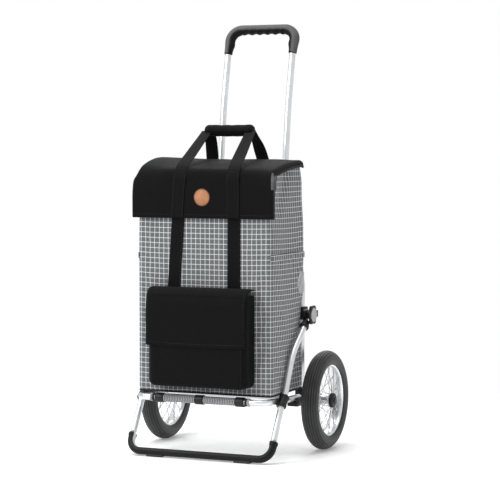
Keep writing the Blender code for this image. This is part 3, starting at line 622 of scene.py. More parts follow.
def round_profile(points, radius=0.6, steps=3):
    """An outline with its corners eased by small arcs; points are 2-D and closed."""
    points = [Vector(point) for point in points]
    eased = []
    for index, corner in enumerate(points):
        before, after = points[index - 1], points[(index + 1) % len(points)]
        reach = min(radius, (before - corner).length * 0.45, (after - corner).length * 0.45)
        start = corner + (before - corner).normalized() * reach
        end = corner + (after - corner).normalized() * reach
        for step in range(steps + 1):
            share = step / steps
            eased.append(start.lerp(corner, share).lerp(corner.lerp(end, share), share))
    return [tuple(point) for point in eased]


def box_piece(name, low, high, radius=1.0, segments=3):
    """A block with eased edges."""
    bm = bmesh.new()
    bmesh.ops.create_cube(bm, size=1.0)
    corners = place([low, high])
    for vert in bm.verts:
        for axis in range(3):
            vert.co[axis] = corners[1][axis] if vert.co[axis] > 0 else corners[0][axis]
    bmesh.ops.bevel(bm, geom=bm.edges[:], offset=radius * MM, segments=segments, profile=0.5,
                    affect="EDGES")
    mesh = bpy.data.meshes.new(name)
    bm.to_mesh(mesh)
    bm.free()
    made = bpy.data.objects.new(name, mesh)
    bpy.context.collection.objects.link(made)
    return made


def carved(base, *cutters):
    for cutter in cutters:
        modifier = base.modifiers.new("carve", "BOOLEAN")
        modifier.operation = "DIFFERENCE"
        modifier.solver = "EXACT"
        modifier.object = cutter
        bake_modifiers(base)
        bpy.data.objects.remove(cutter, do_unlink=True)
    return base


def bake_modifiers(obj):
    graph = bpy.context.evaluated_depsgraph_get()
    mesh = bpy.data.meshes.new_from_object(obj.evaluated_get(graph))
    obj.modifiers.clear()
    obj.data = mesh


def band_piece(name, line, width, thick, across=(1.0, 0.0, 0.0)):
    """Webbing along a line: a flat section with rounded selvedges and its cloth map.

    width and across may change along the line."""
    line = np.asarray(line, dtype=float)
    tangents = tangents_of(line)
    across = np.broadcast_to(np.asarray(across, dtype=float), line.shape)
    widths = np.broadcast_to(np.asarray(width, dtype=float), len(line))
    columns = np.linspace(-1.0, 1.0, 9)
    top = [(column, thick / 2 * (1 - 0.25 * column ** 6)) for column in columns]
    bottom = [(column, -height) for column, height in top[::-1]]
    section = np.array([*top, (1.0, 0.0), *bottom, (-1.0, 0.0)])
    selvedge = np.zeros(len(section))
    selvedge[len(top)], selvedge[-1] = thick * 0.3, -thick * 0.3
    lengths = run_along(line)
    grid, cloth = [], []
    for index, point in enumerate(line):
        side = across[index] - tangents[index] * np.dot(across[index], tangents[index])
        side /= np.linalg.norm(side)
        normal = np.cross(side, tangents[index])
        reach = section[:, 0] * widths[index] / 2 + selvedge
        grid.append(point + reach[:, None] * side + section[:, 1:] * normal)
        cloth.append([(offset * MM, lengths[index] * MM) for offset in reach])
    return outward(grid_piece(name, grid, wrap_columns=True, caps=True, cloth=cloth))


def append_rod(verts, faces, grid):
    """Add a swept grid with closed ends to a growing list of vertices and faces."""
    first = len(verts)
    rows, columns = grid.shape[:2]
    verts.extend(grid.reshape(-1, 3).tolist())
    faces.extend([[first + corner for corner in face]
                  for face in grid_faces(rows, columns, wrap_columns=True)])
    faces.append([first + corner for corner in range(columns)][::-1])
    faces.append([first + (rows - 1) * columns + corner for corner in range(columns)])


def stitches(name, line, normal, body, length=3.0, gap=2.2, radius=0.35):
    """A row of thread stitches lying along a line on a cloth face."""
    line = resample(line, 0.6)
    step = int(round((length + gap) / 0.6))
    span = int(round(length / 0.6))
    verts, faces = [], []
    lift = np.asarray(normal, dtype=float)
    for start in range(0, len(line) - span, step):
        part = line[start:start + span + 1:max(1, span // 4)]
        shares = np.linspace(0.0, 1.0, len(part))
        part = part + lift * (np.sin(shares * math.pi) * radius * 1.2)[:, None]
        thickness = radius * (0.45 + 0.55 * np.sin(math.pi * shares))
        grid = sweep_grid(part, lambda index: circle(thickness[index], 6))
        append_rod(verts, faces, grid)
    made = new_piece(name, verts, faces)
    return finish_piece(outward(made), body, "thread")


add_camera()
add_studio()


# ---------------------------------------------------------------- frame and handle

TUBE_R = 8.25
ARM_R = 8.0
HANDLE_X = 91.0
REAR_X = 158.0
ARM_X = 190.0
WHEEL_X = 223.3
WHEEL_R = 125.0
FOLD = (-38.0, 343.0)
PIVOT = (-197.5, 142.5)
FOOT = (-276.0, 12.5)
BAR = (-266.0, 146.0)


def mirrored(points, sign):
    points = np.array(points, dtype=float)
    points[:, 0] *= sign
    return points


def handle_y(z):
    """Rearward place of the straight part of the handle tubes at height z."""
    return 56.0 + 0.126 * (z - 737.0)


def add_main_tubes():
    corners = [(REAR_X, 0.0, 134.0), (REAR_X, 0.0, 260.0), (REAR_X - 5.0, handle_y(420.0), 420.0),
               (HANDLE_X, handle_y(590.0), 590.0), (HANDLE_X, 73.0, 872.0),
               (HANDLE_X, 100.4, 1004.0)]
    for side, sign in SIDES:
        path = mirrored(rounded_path(corners, (260.0, 90.0, 90.0, 420.0), 5.0), sign)
        tube = rod_piece(f"tube_{side}", path, TUBE_R, 32)
        finish_piece(tube, "rear_frame", "tube", [f"main_tube_{side}"])


def add_crossbars():
    """Round bars across the back, with rounded ends against the tubes."""
    for name, node in (("handle_crossbar", "handle_brace"), ("rear_crossbar", "rear_brace")):
        low, high = cad(node)
        middle = (low + high) / 2
        path = resample([(low[0], middle[1], middle[2]), (high[0], middle[1], middle[2])], 6.0)
        finish_piece(rod_piece(name, path, 6.0), "rear_frame", "tube", [node])


GRIP_R = 13.4
GRIP_END_R = 10.9
SCALLOPS_HALF = 66.0
SCALLOP_PITCH = 22.0
SCALLOP_DEPTH = 2.9


def add_grip():
    """Foam grip over the bend: plain outside, and a dark inner side with finger scallops."""
    corners = [(-HANDLE_X, 100.6, 1005.0), (-HANDLE_X, 123.5, 1067.5),
               (HANDLE_X, 123.5, 1067.5), (HANDLE_X, 100.6, 1005.0)]
    path = rounded_path(corners, (31.0, 31.0), 1.2)
    lengths = run_along(path)
    from_ends = np.minimum(lengths, lengths[-1] - lengths)
    turns = np.linspace(0.0, 2 * math.pi, 40, endpoint=False)
    below = np.maximum(0.0, np.cos(turns))

    def section(index):
        from_end = from_ends[index]
        radius = GRIP_END_R + (GRIP_R - GRIP_END_R) * smoothstep(from_end, 4.0, 46.0)
        radius -= 1.3 * max(0.0, 1 - from_end / 1.6) ** 2
        off_middle = abs(path[index][0])
        scallop = 0.0
        if off_middle < SCALLOPS_HALF:
            phase = 2 * math.pi * (off_middle + SCALLOP_PITCH / 2) / SCALLOP_PITCH
            scallop = SCALLOP_DEPTH * (0.5 - 0.5 * math.cos(phase)) ** 0.8
            scallop *= min(1.0, (SCALLOPS_HALF - off_middle) / 6.0)
        heel = 2.4 * math.exp(-((from_end - 24.0) / 9.0) ** 2)
        reach = radius - scallop * below ** 0.8 + heel * below
        return np.stack([reach * np.cos(turns), reach * np.sin(turns)], axis=1)

    # The section's first direction points to the hand's side all the way round.
    grid = sweep_grid(path, section, Vector((1.0, 0.0, 0.0)))
    grid[0] = path[0] + (grid[1] - path[1]) * 0.78
    grid[-1] = path[-1] + (grid[-2] - path[-2]) * 0.78
    marks = np.zeros((*grid.shape[:2], 2))
    marks[..., 0] = smoothstep(np.cos(turns), 0.05, 0.4)
    grip = grid_piece("grip", grid, wrap_columns=True, caps=True, cloth=marks)
    finish_piece(grip, "rear_frame", "grip", ["handle_grip", "handle_top_tube"])


def add_axle_parts():
    low, high = cad("axle")
    path = resample([(low[0], 0.0, WHEEL_R), (high[0], 0.0, WHEEL_R)], 6.0)
    finish_piece(rod_piece("axle_rod", path, 6.0), "rear_frame", "steel", ["axle"])


def keep_node(node, material, bevel=0.6, smooth=35.0):
    """A CAD node shown as it is, with eased edges, smooth round faces and its finish."""
    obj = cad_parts[node]
    obj.data.materials.clear()
    obj.data.materials.append(MATERIALS[material])
    weld = obj.modifiers.new("weld", "WELD")
    weld.merge_threshold = 0.00002
    ease = obj.modifiers.new("ease", "BEVEL")
    ease.width = bevel * MM
    ease.segments = 2
    ease.limit_method = "ANGLE"
    ease.angle_limit = math.radians(smooth)
    ease.harden_normals = False
    obj.data.shade_smooth()
    obj.data.set_sharp_from_angle(angle=math.radians(smooth))
    return obj


# ---------------------------------------------------------------- front frame

def arm_line():
    return rounded_path([(ARM_X, -50.0, 322.3), (ARM_X, -136.7, 254.5), (ARM_X, -184.0, 156.0),
                         (ARM_X, -206.0, 134.0), (ARM_X, FOOT[0], FOOT[1])],
                        (140.0, 30.0, 30.0), 4.0)


ARM_END_Z = 52.0
BUMPER_R = 10.2


def add_collar(name, line, radii):
    """A moulded sleeve round an arm; radii are its outside along the line."""
    path = resample(line, 1.0)
    along = np.interp(np.linspace(0.0, 1.0, len(path)), np.linspace(0.0, 1.0, len(radii)), radii)
    outside = sweep_grid(path, lambda index: circle(along[index], 36))
    inside = sweep_grid(path, lambda index: circle(ARM_R + 0.1, 36))
    collar = outward(grid_piece(name, np.concatenate([outside, inside[::-1]]), wrap_rows=True,
                                wrap_columns=True))
    finish_piece(collar, "front_frame", "plastic")


def add_front_frame():
    line = arm_line()
    line = line[line[:, 2] > ARM_END_Z]
    for side, sign in SIDES:
        arm = rod_piece(f"arm_{side}", mirrored(line, sign), ARM_R, 32)
        finish_piece(arm, "front_frame", "tube", [f"front_arm_{side}"])
        add_collar(f"arm_collar_{side}", mirrored(line[1:5], sign), (10.2, 11.6, 12.4, 11.4))
        near = int(np.argmin(np.abs(line[:, 2] - PIVOT[1])))
        add_collar(f"clamp_sleeve_{side}", mirrored(line[near - 4:near + 5], sign),
                   (12.6, 12.9, 11.6, 11.6, 11.6, 11.6, 12.2, 13.2, 12.0))
    low, high = Vector((ARM_X, -206.0, 134.0)), Vector((ARM_X, *FOOT))
    rise = (low - high).normalized()
    end = high + rise * (ARM_END_Z - 1.0 - FOOT[1]) / rise.z
    corners = [(-end.x, end.y, end.z), (-ARM_X, *FOOT), (ARM_X, *FOOT), tuple(end)]
    path = rounded_path(corners, (30.0, 30.0), 2.5)
    bar = rod_piece("foot_tube", path, ARM_R, 32)
    finish_piece(bar, "front_frame", "tube", ["foot_bar"])
    add_bumper(path)
    for side, sign in SIDES:
        add_foot_pad(side)


def add_bumper(path):
    """A channel that grips the foot bar from outside and is open along its inner side."""
    lengths = run_along(path)
    opening = math.radians(58)
    inner = ARM_R + 0.15
    edge_turn = opening - 0.09

    def section(index):
        from_end = min(lengths[index], lengths[-1] - lengths[index])
        outer = BUMPER_R + 1.7 * math.exp(-((from_end - 4.0) / 5.5) ** 2)
        edge = (outer + inner) / 2
        turns = np.linspace(opening, 2 * math.pi - opening, 30)
        turns = np.concatenate([turns, [-edge_turn], turns[::-1], [edge_turn]])
        reach = np.repeat([outer, edge, inner, edge], [30, 1, 30, 1])
        return np.stack([reach * np.cos(turns), reach * np.sin(turns)], axis=1)

    grid = sweep_grid(path, section, Vector((1.0, 0.0, 0.0)))
    bumper = outward(grid_piece("bumper", grid, wrap_columns=True, caps=True))
    finish_piece(bumper, "front_frame", "bumper", ["foot_bumper"])


def add_foot_pad(side):
    """A rubber pad hollowed to sit under the bumper, with ribs cut into its sole."""
    low, high = cad(f"foot_pad_{side}")
    pad = box_piece(f"pad_{side}", low, high, 1.6, 4)
    seat = resample([(low[0] - 5.0, *FOOT), (high[0] + 5.0, *FOOT)], 6.0)
    ribs = [box_piece("rib", (x - 0.6, low[1] - 1.0, -1.0), (x + 0.6, high[1] + 1.0, 0.9), 0.2, 1)
            for x in np.arange(low[0] + 5.0, high[0] - 4.0, 4.0)]
    carved(pad, rod_piece("groove", seat, BUMPER_R + 0.3, 36), *ribs)
    finish_piece(pad, "front_frame", "pad", [f"foot_pad_{side}"])


# ---------------------------------------------------------------- shelf

def bar_height(y):
    return BAR[1] - 0.0514 * (y - BAR[0])


def add_shelf():
    path = resample([(-128.0, *BAR), (128.0, *BAR)], 5.0)
    finish_piece(rod_piece("shelf_bar", path, ARM_R, 32), "shelf", "tube",
                 ["shelf_front_tube"])
    for side, sign in SIDES:
        line = rounded_path([(128.3, *BAR), (172.5, *BAR), (172.5, -52.0, bar_height(-52.0))],
                            (30.0,), 3.0)
        tube = rod_piece(f"shelf_tube_{side}", mirrored(line, sign), ARM_R, 32)
        finish_piece(tube, "shelf", "tube", [f"shelf_side_tube_{side}"])
        low, high = cad(f"bar_sleeve_{side}")
        sleeve = ribbed_sleeve(f"sleeve_{side}", low[0], high[0])
        finish_piece(sleeve, "shelf", "ribbed", [f"bar_sleeve_{side}"])
        for index, (x, width, look) in enumerate(((122.0, 5.0, "plastic"), (128.2, 5.4, "grey"))):
            near, far = sign * x, sign * (x + width)
            profile = [(near, ARM_R - 0.5), (far, ARM_R - 0.5), (far, 10.0), (near, 10.0)]
            ring = lathe_piece(f"bar_ring_{side}_{index}", round_profile(profile, 0.8), BAR, 40)
            finish_piece(ring, "shelf", look)
    low, high = cad("shelf_cross_rod")
    middle = (low + high) / 2
    rod = rod_piece("cross_rod", resample([(low[0], middle[1], middle[2]),
                                           (high[0], middle[1], middle[2])], 6.0), 4.0)
    finish_piece(rod, "shelf", "steel", ["shelf_cross_rod"])


SLEEVE_PITCH = 4.4


def ribbed_sleeve(name, x_low, x_high):
    """A sleeve on the bar with rings moulded round it, and painted shade in the hollows between them."""
    bore, hollow, crest = ARM_R + 0.1, 8.3, 9.9
    count = int((x_high - x_low) / SLEEVE_PITCH)
    wide = (x_high - x_low) / count
    # marks are 1 in the hollows and at the bore, where the material paints shade.
    profile, marks = [(x_low, bore)], [1.0]
    for index in range(count):
        start = x_low + wide * index
        profile += [(start, hollow), (start + wide * 0.12, crest), (start + wide * 0.58, crest),
                    (start + wide * 0.7, hollow)]
        marks += [1.0, 0.0, 0.0, 1.0]
    profile += [(x_high, hollow), (x_high, bore)]
    return lathe_piece(name, profile, BAR, 40, marks=marks + [1.0, 1.0])


# ---------------------------------------------------------------- wheels

def add_wheel(side, sign):
    middle = sign * WHEEL_X
    body = f"wheel_{side}"
    hub_at = (0.0, WHEEL_R)
    add_tyre(side, middle, body)
    half = 15.0
    well = [(half, 86.6), (half - 1.4, 85.2), (6.0, 84.4)]
    flange = [(half, 92.5), (half - 1.3, 94.6), (half - 2.4, 93.0), (half - 3.0, 89.0), (6.0, 87.2)]
    section = [*[(-x, r) for x, r in well], (0.0, 83.4), *well[::-1],
               *flange, *[(-x, r) for x, r in flange[::-1]]]
    rim = lathe_piece(f"wheel_rim_{side}", [(middle + x, r) for x, r in section], hub_at, 128)
    finish_piece(rim, body, "rim", [f"rim_{side}"], smooth=50.0)
    add_hub(side, sign, body)
    cap = [(240.3, 8.4), (240.3, 18.5), (245.2, 18.5), (246.6, 18.0), (248.6, 15.8),
           (249.5, 13.4), (249.5, 10.2), (248.8, 9.6), (248.8, 8.4)]
    cap_piece = lathe_piece(f"wheel_cap_{side}", [(sign * x, r) for x, r in cap], hub_at, 72)
    finish_piece(cap_piece, body, "plastic", [f"hub_cap_{side}"])
    button = [(242.5, 0.0), (242.5, 7.9), (250.4, 7.9), (251.4, 7.0), (251.9, 5.2),
              (251.4, 2.5), (251.2, 0.0)]
    made = lathe_piece(f"button_{side}", [(sign * x, max(r, 0.02)) for x, r in button], hub_at, 48)
    finish_piece(made, f"wheel_button_{side}", "plastic", [f"release_button_{side}"])
    add_valve(side, sign, body)


TYRE_HALF = 22.0
TYRE_BEAD = -38.0
TYRE_SEAT_R = 89.2


def tyre_point(middle, radius, turn):
    """A point of the tyre's section, kept outside the rim's seat."""
    from_axle = WHEEL_R - TYRE_HALF + radius * math.sin(turn)
    return middle + radius * math.cos(turn), max(from_axle, TYRE_SEAT_R)


def add_tyre(side, middle, body):
    """Tyre with fine grooves round the tread and shoulders, with painted shade in them through the piece's
    map, and a moulded line on each wall.
    """
    outer, marks = [], []
    for turn in np.radians(np.linspace(TYRE_BEAD, 180.0 - TYRE_BEAD, 210)):
        degrees = abs(math.degrees(turn) - 90.0)
        radius = TYRE_HALF
        # groove also goes into the map, where the material paints shade into the grooves.
        groove = math.exp(-((degrees % 17.0 - 8.5) / 2.9) ** 2) if degrees < 68.0 else 0.0
        marks.append(groove)
        radius -= 1.7 * groove
        if 80.0 < degrees < 84.0:
            radius -= 0.7
        elif 98.0 < degrees < 101.0:
            radius += 0.3
        outer.append(tyre_point(middle, radius, turn))
    inner = []
    radius = TYRE_HALF - 4.0
    for turn in np.radians(np.linspace(180.0 - TYRE_BEAD, TYRE_BEAD, 24)):
        inner.append(tyre_point(middle, radius, turn))
    marks += [0.0] * len(inner)
    tyre = lathe_piece(f"wheel_tyre_{side}", outer + inner, (0.0, WHEEL_R), 144, marks=marks)
    finish_piece(tyre, body, "tyre", [f"tyre_{side}"], smooth=60.0)


SPOKES = 28
SPOKE_HUB_R = 16.0
SPOKE_RIM_R = 85.0


def add_hub(side, sign, body):
    profile = [(203.6, 6.4), (203.6, 18.2), (204.2, 19.0), (206.4, 19.0), (207.0, 18.2), (208.0, 12.4),
               (210.0, 11.0), (234.0, 11.0), (236.0, 12.4), (237.0, 18.2), (237.6, 19.0), (239.4, 19.0),
               (240.0, 18.2), (240.0, 6.4)]
    hub = lathe_piece(f"wheel_hub_{side}", [(sign * x, r) for x, r in profile], (0.0, WHEEL_R), 72)
    finish_piece(hub, body, "steel", [f"hub_{side}"])
    verts, faces = [], []
    for index in range(SPOKES):
        root_x = 205.3 if index % 2 else 238.5
        tip_turn = 2 * math.pi * index / SPOKES
        lean = math.radians(52) * (1 if index // 2 % 2 else -1)
        start = np.array([sign * root_x, SPOKE_HUB_R * math.cos(tip_turn + lean),
                          WHEEL_R + SPOKE_HUB_R * math.sin(tip_turn + lean)])
        end = np.array([sign * (WHEEL_X + (root_x - WHEEL_X) * 0.15), SPOKE_RIM_R * math.cos(tip_turn),
                        WHEEL_R + SPOKE_RIM_R * math.sin(tip_turn)])
        append_rod(verts, faces, sweep_grid(resample([start, end], 12.0), lambda at: circle(1.0, 8)))
        run = (end - start) / np.linalg.norm(end - start)
        head = np.array([start - run * 1.6, start - run * 0.6, start + run * 0.8])
        append_rod(verts, faces, sweep_grid(head, lambda at: circle((1.3, 2.0, 1.3)[at], 8)))
        nipple = np.array([end - run * 11.0, end - run * 10.0, end - run * 1.0])
        append_rod(verts, faces, sweep_grid(nipple, lambda at: circle((1.2, 1.9, 2.1)[at], 8)))
    spokes = outward(new_piece(f"wheel_spokes_{side}", verts, faces))
    finish_piece(spokes, body, "steel")


def add_valve(side, sign, body):
    turn = math.radians(205)
    toward = np.array([0.0, math.cos(turn), math.sin(turn)])
    hub_at = np.array([sign * WHEEL_X, 0.0, WHEEL_R])
    stem = resample([hub_at + toward * 84.0, hub_at + toward * 60.0], 3.0)
    radii = np.full(len(stem), 3.0)
    radii[-4:] = 2.6
    grid = sweep_grid(stem, lambda index: circle(radii[index], 20))
    made = outward(grid_piece(f"valve_{side}", grid, wrap_columns=True, caps=True))
    finish_piece(made, body, "plastic")


# ---------------------------------------------------------------- knobs

KNOB_WAIST = 20.4
KNOB_LOBE = 5.2
KNOB_LOBES = 6


def add_knob(side, sign):
    """Lobed black rim round a grey disc."""
    turns = np.linspace(0.0, 2 * math.pi, 144, endpoint=False)
    lobes = KNOB_WAIST + KNOB_LOBE * np.clip(np.cos(turns * KNOB_LOBES) * 0.5 + 0.5, 0, 1) ** 0.7
    rows = [(200.4, 0.90), (200.9, 0.97), (201.8, 1.0), (205.6, 1.0), (206.9, 0.97), (207.5, 0.90),
            (207.5, 0.70), (205.8, 0.66)]
    grid = []
    for x, share in rows:
        radius = lobes * share if share >= 0.9 else np.full_like(lobes, 24.0 * share)
        grid.append(np.stack([np.full_like(turns, sign * x), FOLD[0] + radius * np.cos(turns),
                              FOLD[1] + radius * np.sin(turns)], axis=1))
    rim = outward(grid_piece(f"knob_rim_{side}", np.array(grid), wrap_columns=True, caps=True))
    body = f"lock_knob_{side}"
    finish_piece(rim, body, "plastic", [f"lock_knob_{side}"], smooth=50.0)
    face = [(204.0, 0.02), (204.0, 17.4), (207.9, 17.4), (208.9, 16.6), (209.3, 15.0), (208.9, 14.0),
            (208.9, 0.02)]
    disc = lathe_piece(f"knob_face_{side}", [(sign * x, r) for x, r in face], FOLD, 72)
    finish_piece(disc, body, "knob_face")
    line = resample([(sign * 181.6, *FOLD), (sign * 204.0, *FOLD)], 4.0)
    finish_piece(rod_piece(f"knob_stud_{side}", line, 4.0), body, "steel")


def add_metal_and_plastic():
    add_main_tubes()
    add_crossbars()
    add_grip()
    add_axle_parts()
    add_front_frame()
    add_shelf()
    for side, sign in SIDES:
        add_wheel(side, sign)
        add_knob(side, sign)
        for node in ("axle_bracket", "knob_housing", "arm_eye", "pivot_clamp"):
            keep_node(f"{node}_{side}", "plastic")
    for node in ("bag_clip_left", "bag_clip_middle", "bag_clip_right", "bag_hanger"):
        keep_node(node, "plastic")


# ---------------------------------------------------------------- bag

BAG_HALF = 180.2
BAG_FRONT = -244.7
BAG_BACK = -44.0
BAG_BOTTOM = 153.5
RIM_FRONT = 698.0
RIM_REAR = 723.5
RIM_CLEARANCE = 3.0
FRONT_DIP = 30.0
BAG_CORNER = 6.0
BAG_STEP = 7.0
BAG_WALL = 2.4
SIDE_POCKET_Z = 499.0


def fold_with_frame(obj):
    """Give a soft piece its own copy of its mesh."""
    anchor = place([0.0, BAG_BACK, 0.0])
    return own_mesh(obj)


def bag_outline():
    """Plan of the bag's wall from the middle of its back, once round, in even steps."""
    corners = [(0.0, BAG_BACK, 0.0), (BAG_HALF, BAG_BACK, 0.0), (BAG_HALF, BAG_FRONT, 0.0),
               (-BAG_HALF, BAG_FRONT, 0.0), (-BAG_HALF, BAG_BACK, 0.0), (0.0, BAG_BACK, 0.0)]
    return rounded_path(corners, [BAG_CORNER] * 4, BAG_STEP)[:-1, :2]


def rim_height(y):
    """The rim stays just below the lid and is cut lower along the front, behind the flap."""
    share = (y - BAG_FRONT) / (BAG_BACK - BAG_FRONT)
    level = RIM_FRONT + (RIM_REAR - RIM_FRONT) * share
    return level - RIM_CLEARANCE - FRONT_DIP * np.exp(-(y - BAG_FRONT) / 16.0)


def shaped_wall(outline):
    """Rows of points up the wall: gussets pinched near the top, drawn in at the rim and base."""
    rows = int((RIM_REAR - BAG_BOTTOM) / BAG_STEP)
    wall = np.empty((rows, len(outline), 3))
    plan_x, plan_y = outline[:, 0], outline[:, 1]
    wide = np.abs(plan_x) / BAG_HALF
    middle = (BAG_FRONT + BAG_BACK) / 2
    depth = (plan_y - middle) / (BAG_BACK - middle)
    on_side = (np.abs(plan_x) > BAG_HALF - 0.5).astype(float)
    for row, share in enumerate(np.linspace(0.0, 1.0, rows)):
        z = BAG_BOTTOM + (rim_height(plan_y) - BAG_BOTTOM) * share
        low = np.clip((BAG_BOTTOM + 11.0 - z) / 11.0, 0.0, 1.0)
        drawn = 9.0 * (1 - np.sqrt(np.clip(1 - low ** 2, 0.0, 1.0)))
        top = smoothstep(z, 672.0, 722.0)
        x = plan_x - np.sign(plan_x) * (drawn + 4.0 * top) * wide ** 2
        y = plan_y - np.sign(depth) * np.abs(depth) ** 2 * (drawn + 4.0 * top * (depth > 0))
        x -= np.sign(x) * on_side * side_hollow(plan_y, z)
        beside_arms = 5.0 * np.exp(-((z - 328.0) / 45.0) ** 2) * smoothstep(plan_y, -170.0, -125.0)
        x -= np.sign(x) * beside_arms * wide ** 8
        wall[row] = np.stack([x, y, z], axis=1)
    return wall


def side_hollow(y, z):
    """How far the bag's side stands in: a slanting crease and a hollow, less a fullness behind."""
    crease_y = -228.0 + (z - 560.0) * 0.62
    crease = np.exp(-((y - crease_y) / 26.0) ** 2) * smoothstep(z, 545.0, 640.0)
    crease *= 1 - 0.6 * smoothstep(z, 690.0, 722.0)
    hollow = np.exp(-((y - (BAG_FRONT + BAG_BACK) / 2) / 80.0) ** 2) * smoothstep(z, 520.0, 700.0)
    full = smoothstep(z, 365.0, 410.0) * (1 - smoothstep(z, 560.0, 650.0)) * smoothstep(y, -170.0, -60.0)
    return 8.0 * crease + 4.0 * hollow - 4.5 * full


CLOTH_FRAMES = 24
CLOTH_EASE = 0.012


def settle_cloth(wall, pins):
    """Let the wall sag a little as cloth cut slightly too large for its frame."""
    rows, columns = wall.shape[:2]
    cloth = grid_piece("cloth_settling", wall, wrap_columns=True)
    group = cloth.vertex_groups.new(name="pins")
    for row in range(rows):
        for column in range(columns):
            if pins[row, column] > 0.0:
                group.add([row * columns + column], float(pins[row, column]), "REPLACE")
    modifier = cloth.modifiers.new("settle", "CLOTH")
    settings = modifier.settings
    settings.quality = 6
    settings.mass = 0.15
    settings.tension_stiffness = settings.compression_stiffness = 12.0
    settings.shear_stiffness = 4.0
    settings.bending_stiffness = 0.35
    settings.vertex_group_mass = "pins"
    settings.pin_stiffness = 1.0
    settings.shrink_min = settings.shrink_max = -CLOTH_EASE
    modifier.collision_settings.use_collision = False
    modifier.point_cache.frame_end = CLOTH_FRAMES
    scene = bpy.context.scene
    for number in range(1, CLOTH_FRAMES + 1):
        scene.frame_set(number)
    graph = bpy.context.evaluated_depsgraph_get()
    settled = np.array([vert.co[:] for vert in cloth.evaluated_get(graph).data.vertices])
    scene.frame_set(1)
    bpy.data.objects.remove(cloth, do_unlink=True)
    settled[:, 1] -= AXLE_Y
    return (settled / MM).reshape(rows, columns, 3)


def outward_of(wall):
    """Level outward direction at each point of a wall that closes on itself."""
    along = np.roll(wall, -1, axis=1) - np.roll(wall, 1, axis=1)
    out = np.stack([-along[..., 1], along[..., 0], np.zeros(along.shape[:2])], axis=2)
    out /= np.linalg.norm(out, axis=2)[..., None]
    middle = np.array([0.0, (BAG_FRONT + BAG_BACK) / 2, 0.0])
    if (out * (wall - middle)).sum() < 0:
        out = -out
    return out


def held_near(wall, shape, most_in, most_out):
    """Limit how far the settled cloth may stand in or out from its first shape."""
    out = outward_of(shape)
    move = wall - shape
    reach = (move * out).sum(axis=2)
    limited = np.where(reach > 0, most_out * np.tanh(reach / most_out), most_in * np.tanh(reach / most_in))
    vertical = np.clip(move[..., 2], -3.0, 1.0)
    held = shape + out * limited[..., None]
    held[..., 2] += vertical
    return held


def bag_pins(shape):
    """Where the bag's wall is held: rim, base and corners, and lightly at the side pockets."""
    pins = np.zeros(shape.shape[:2])
    pins[:2] = 1.0
    pins[-2:] = 1.0
    x, y = shape[len(shape) // 2, :, 0], shape[len(shape) // 2, :, 1]
    pins[:, (np.abs(x) > BAG_HALF - 9.0) & ((y < BAG_FRONT + 8.0) | (y > BAG_BACK - 10.0))] = 1.0
    pins[np.abs(shape[..., 2] - SIDE_POCKET_Z) < BAG_STEP / 2] = 0.5
    return pins


def add_bag():
    outline = bag_outline()
    shape = shaped_wall(outline)
    rows, columns = shape.shape[:2]
    wall = held_near(settle_cloth(shape, bag_pins(shape)), shape, 2.2, 1.2)
    inner = wall - outward_of(wall) * BAG_WALL
    inner[0, :, 2] += BAG_WALL
    lengths = run_along(outline)
    lengths = lengths - lengths[-1] / 2
    across = np.broadcast_to(lengths * MM, (rows, columns))
    up = (shape[..., 2] - BAG_BOTTOM) * MM
    cloth = np.stack([across, up], axis=2)
    rim = (wall[-1:] + inner[-1:]) / 2
    rim[..., 2] += BAG_WALL / 2
    grid = np.concatenate([wall, rim, inner[::-1]])
    flat = np.concatenate([cloth, cloth[-1:], cloth[::-1]])
    shell = grid_piece("bag_shell", grid, wrap_columns=True, caps=True, cloth=flat)
    smooth = shell.modifiers.new("smooth", "SUBSURF")
    smooth.levels = smooth.render_levels = 1
    smooth.uv_smooth = "PRESERVE_BOUNDARIES"
    bake_modifiers(outward(shell))
    finish_piece(shell, "rear_frame", "check", ["bag_body"], smooth=60.0)
    fold_with_frame(shell)
    add_board()
    add_bag_trim(wall, outline)
    return wall


def add_board():
    low, high = cad("base_board")
    board = box_piece("base_board_panel", low, high, 1.2, 3)
    fold_with_frame(finish_piece(board, "rear_frame", "board", ["base_board"]))


def wall_point(wall, row, column, lift):
    """A point on the wall between grid places, standing out by lift."""
    rows, columns = wall.shape[:2]
    out = outward_of(wall)
    row = min(max(row, 0.0), rows - 1.001)
    below, right = int(row), int(math.floor(column))
    down, over = row - below, column - right
    total = np.zeros(3)
    for step_up, share_up in ((0, 1 - down), (1, down)):
        for step_over, share_over in ((0, 1 - over), (1, over)):
            place_at = (below + step_up, (right + step_over) % columns)
            total += share_up * share_over * (wall[place_at] + out[place_at] * lift)
    return total


def row_at(wall, column, height):
    """The place between rows where a column of the wall reaches a height."""
    return float(np.interp(height, wall[:, column, 2], np.arange(len(wall))))


def add_bag_trim(wall, outline):
    """Bound edges at the rim and base, the side pockets' top edges and the reflectors."""
    columns = len(outline)
    for name, row, radius, lift in (("bag_rim_binding", wall.shape[0] - 1.2, 2.3, -1.0),
                                    ("bag_base_piping", 0.9, 2.1, 0.3)):
        line = np.array([wall_point(wall, row, column, lift) for column in range(columns)])
        turns = circle(radius, 12)
        out = outward_of(line[None])[0]
        grid = np.array([point + turns[:, :1] * direction + turns[:, 1:] * np.array([0.0, 0.0, 1.0])
                         for point, direction in zip(line, out)])
        piece = outward(grid_piece(name, grid, wrap_rows=True, wrap_columns=True))
        fold_with_frame(finish_piece(piece, "rear_frame", "piping"))
    for side, sign in SIDES:
        on_side = [index for index in range(columns) if outline[index, 0] * sign > BAG_HALF - 6.0]
        on_side.sort(key=lambda index: outline[index, 1])
        add_side_pocket(wall, on_side, side)
        add_reflector(wall, on_side, outline, side)


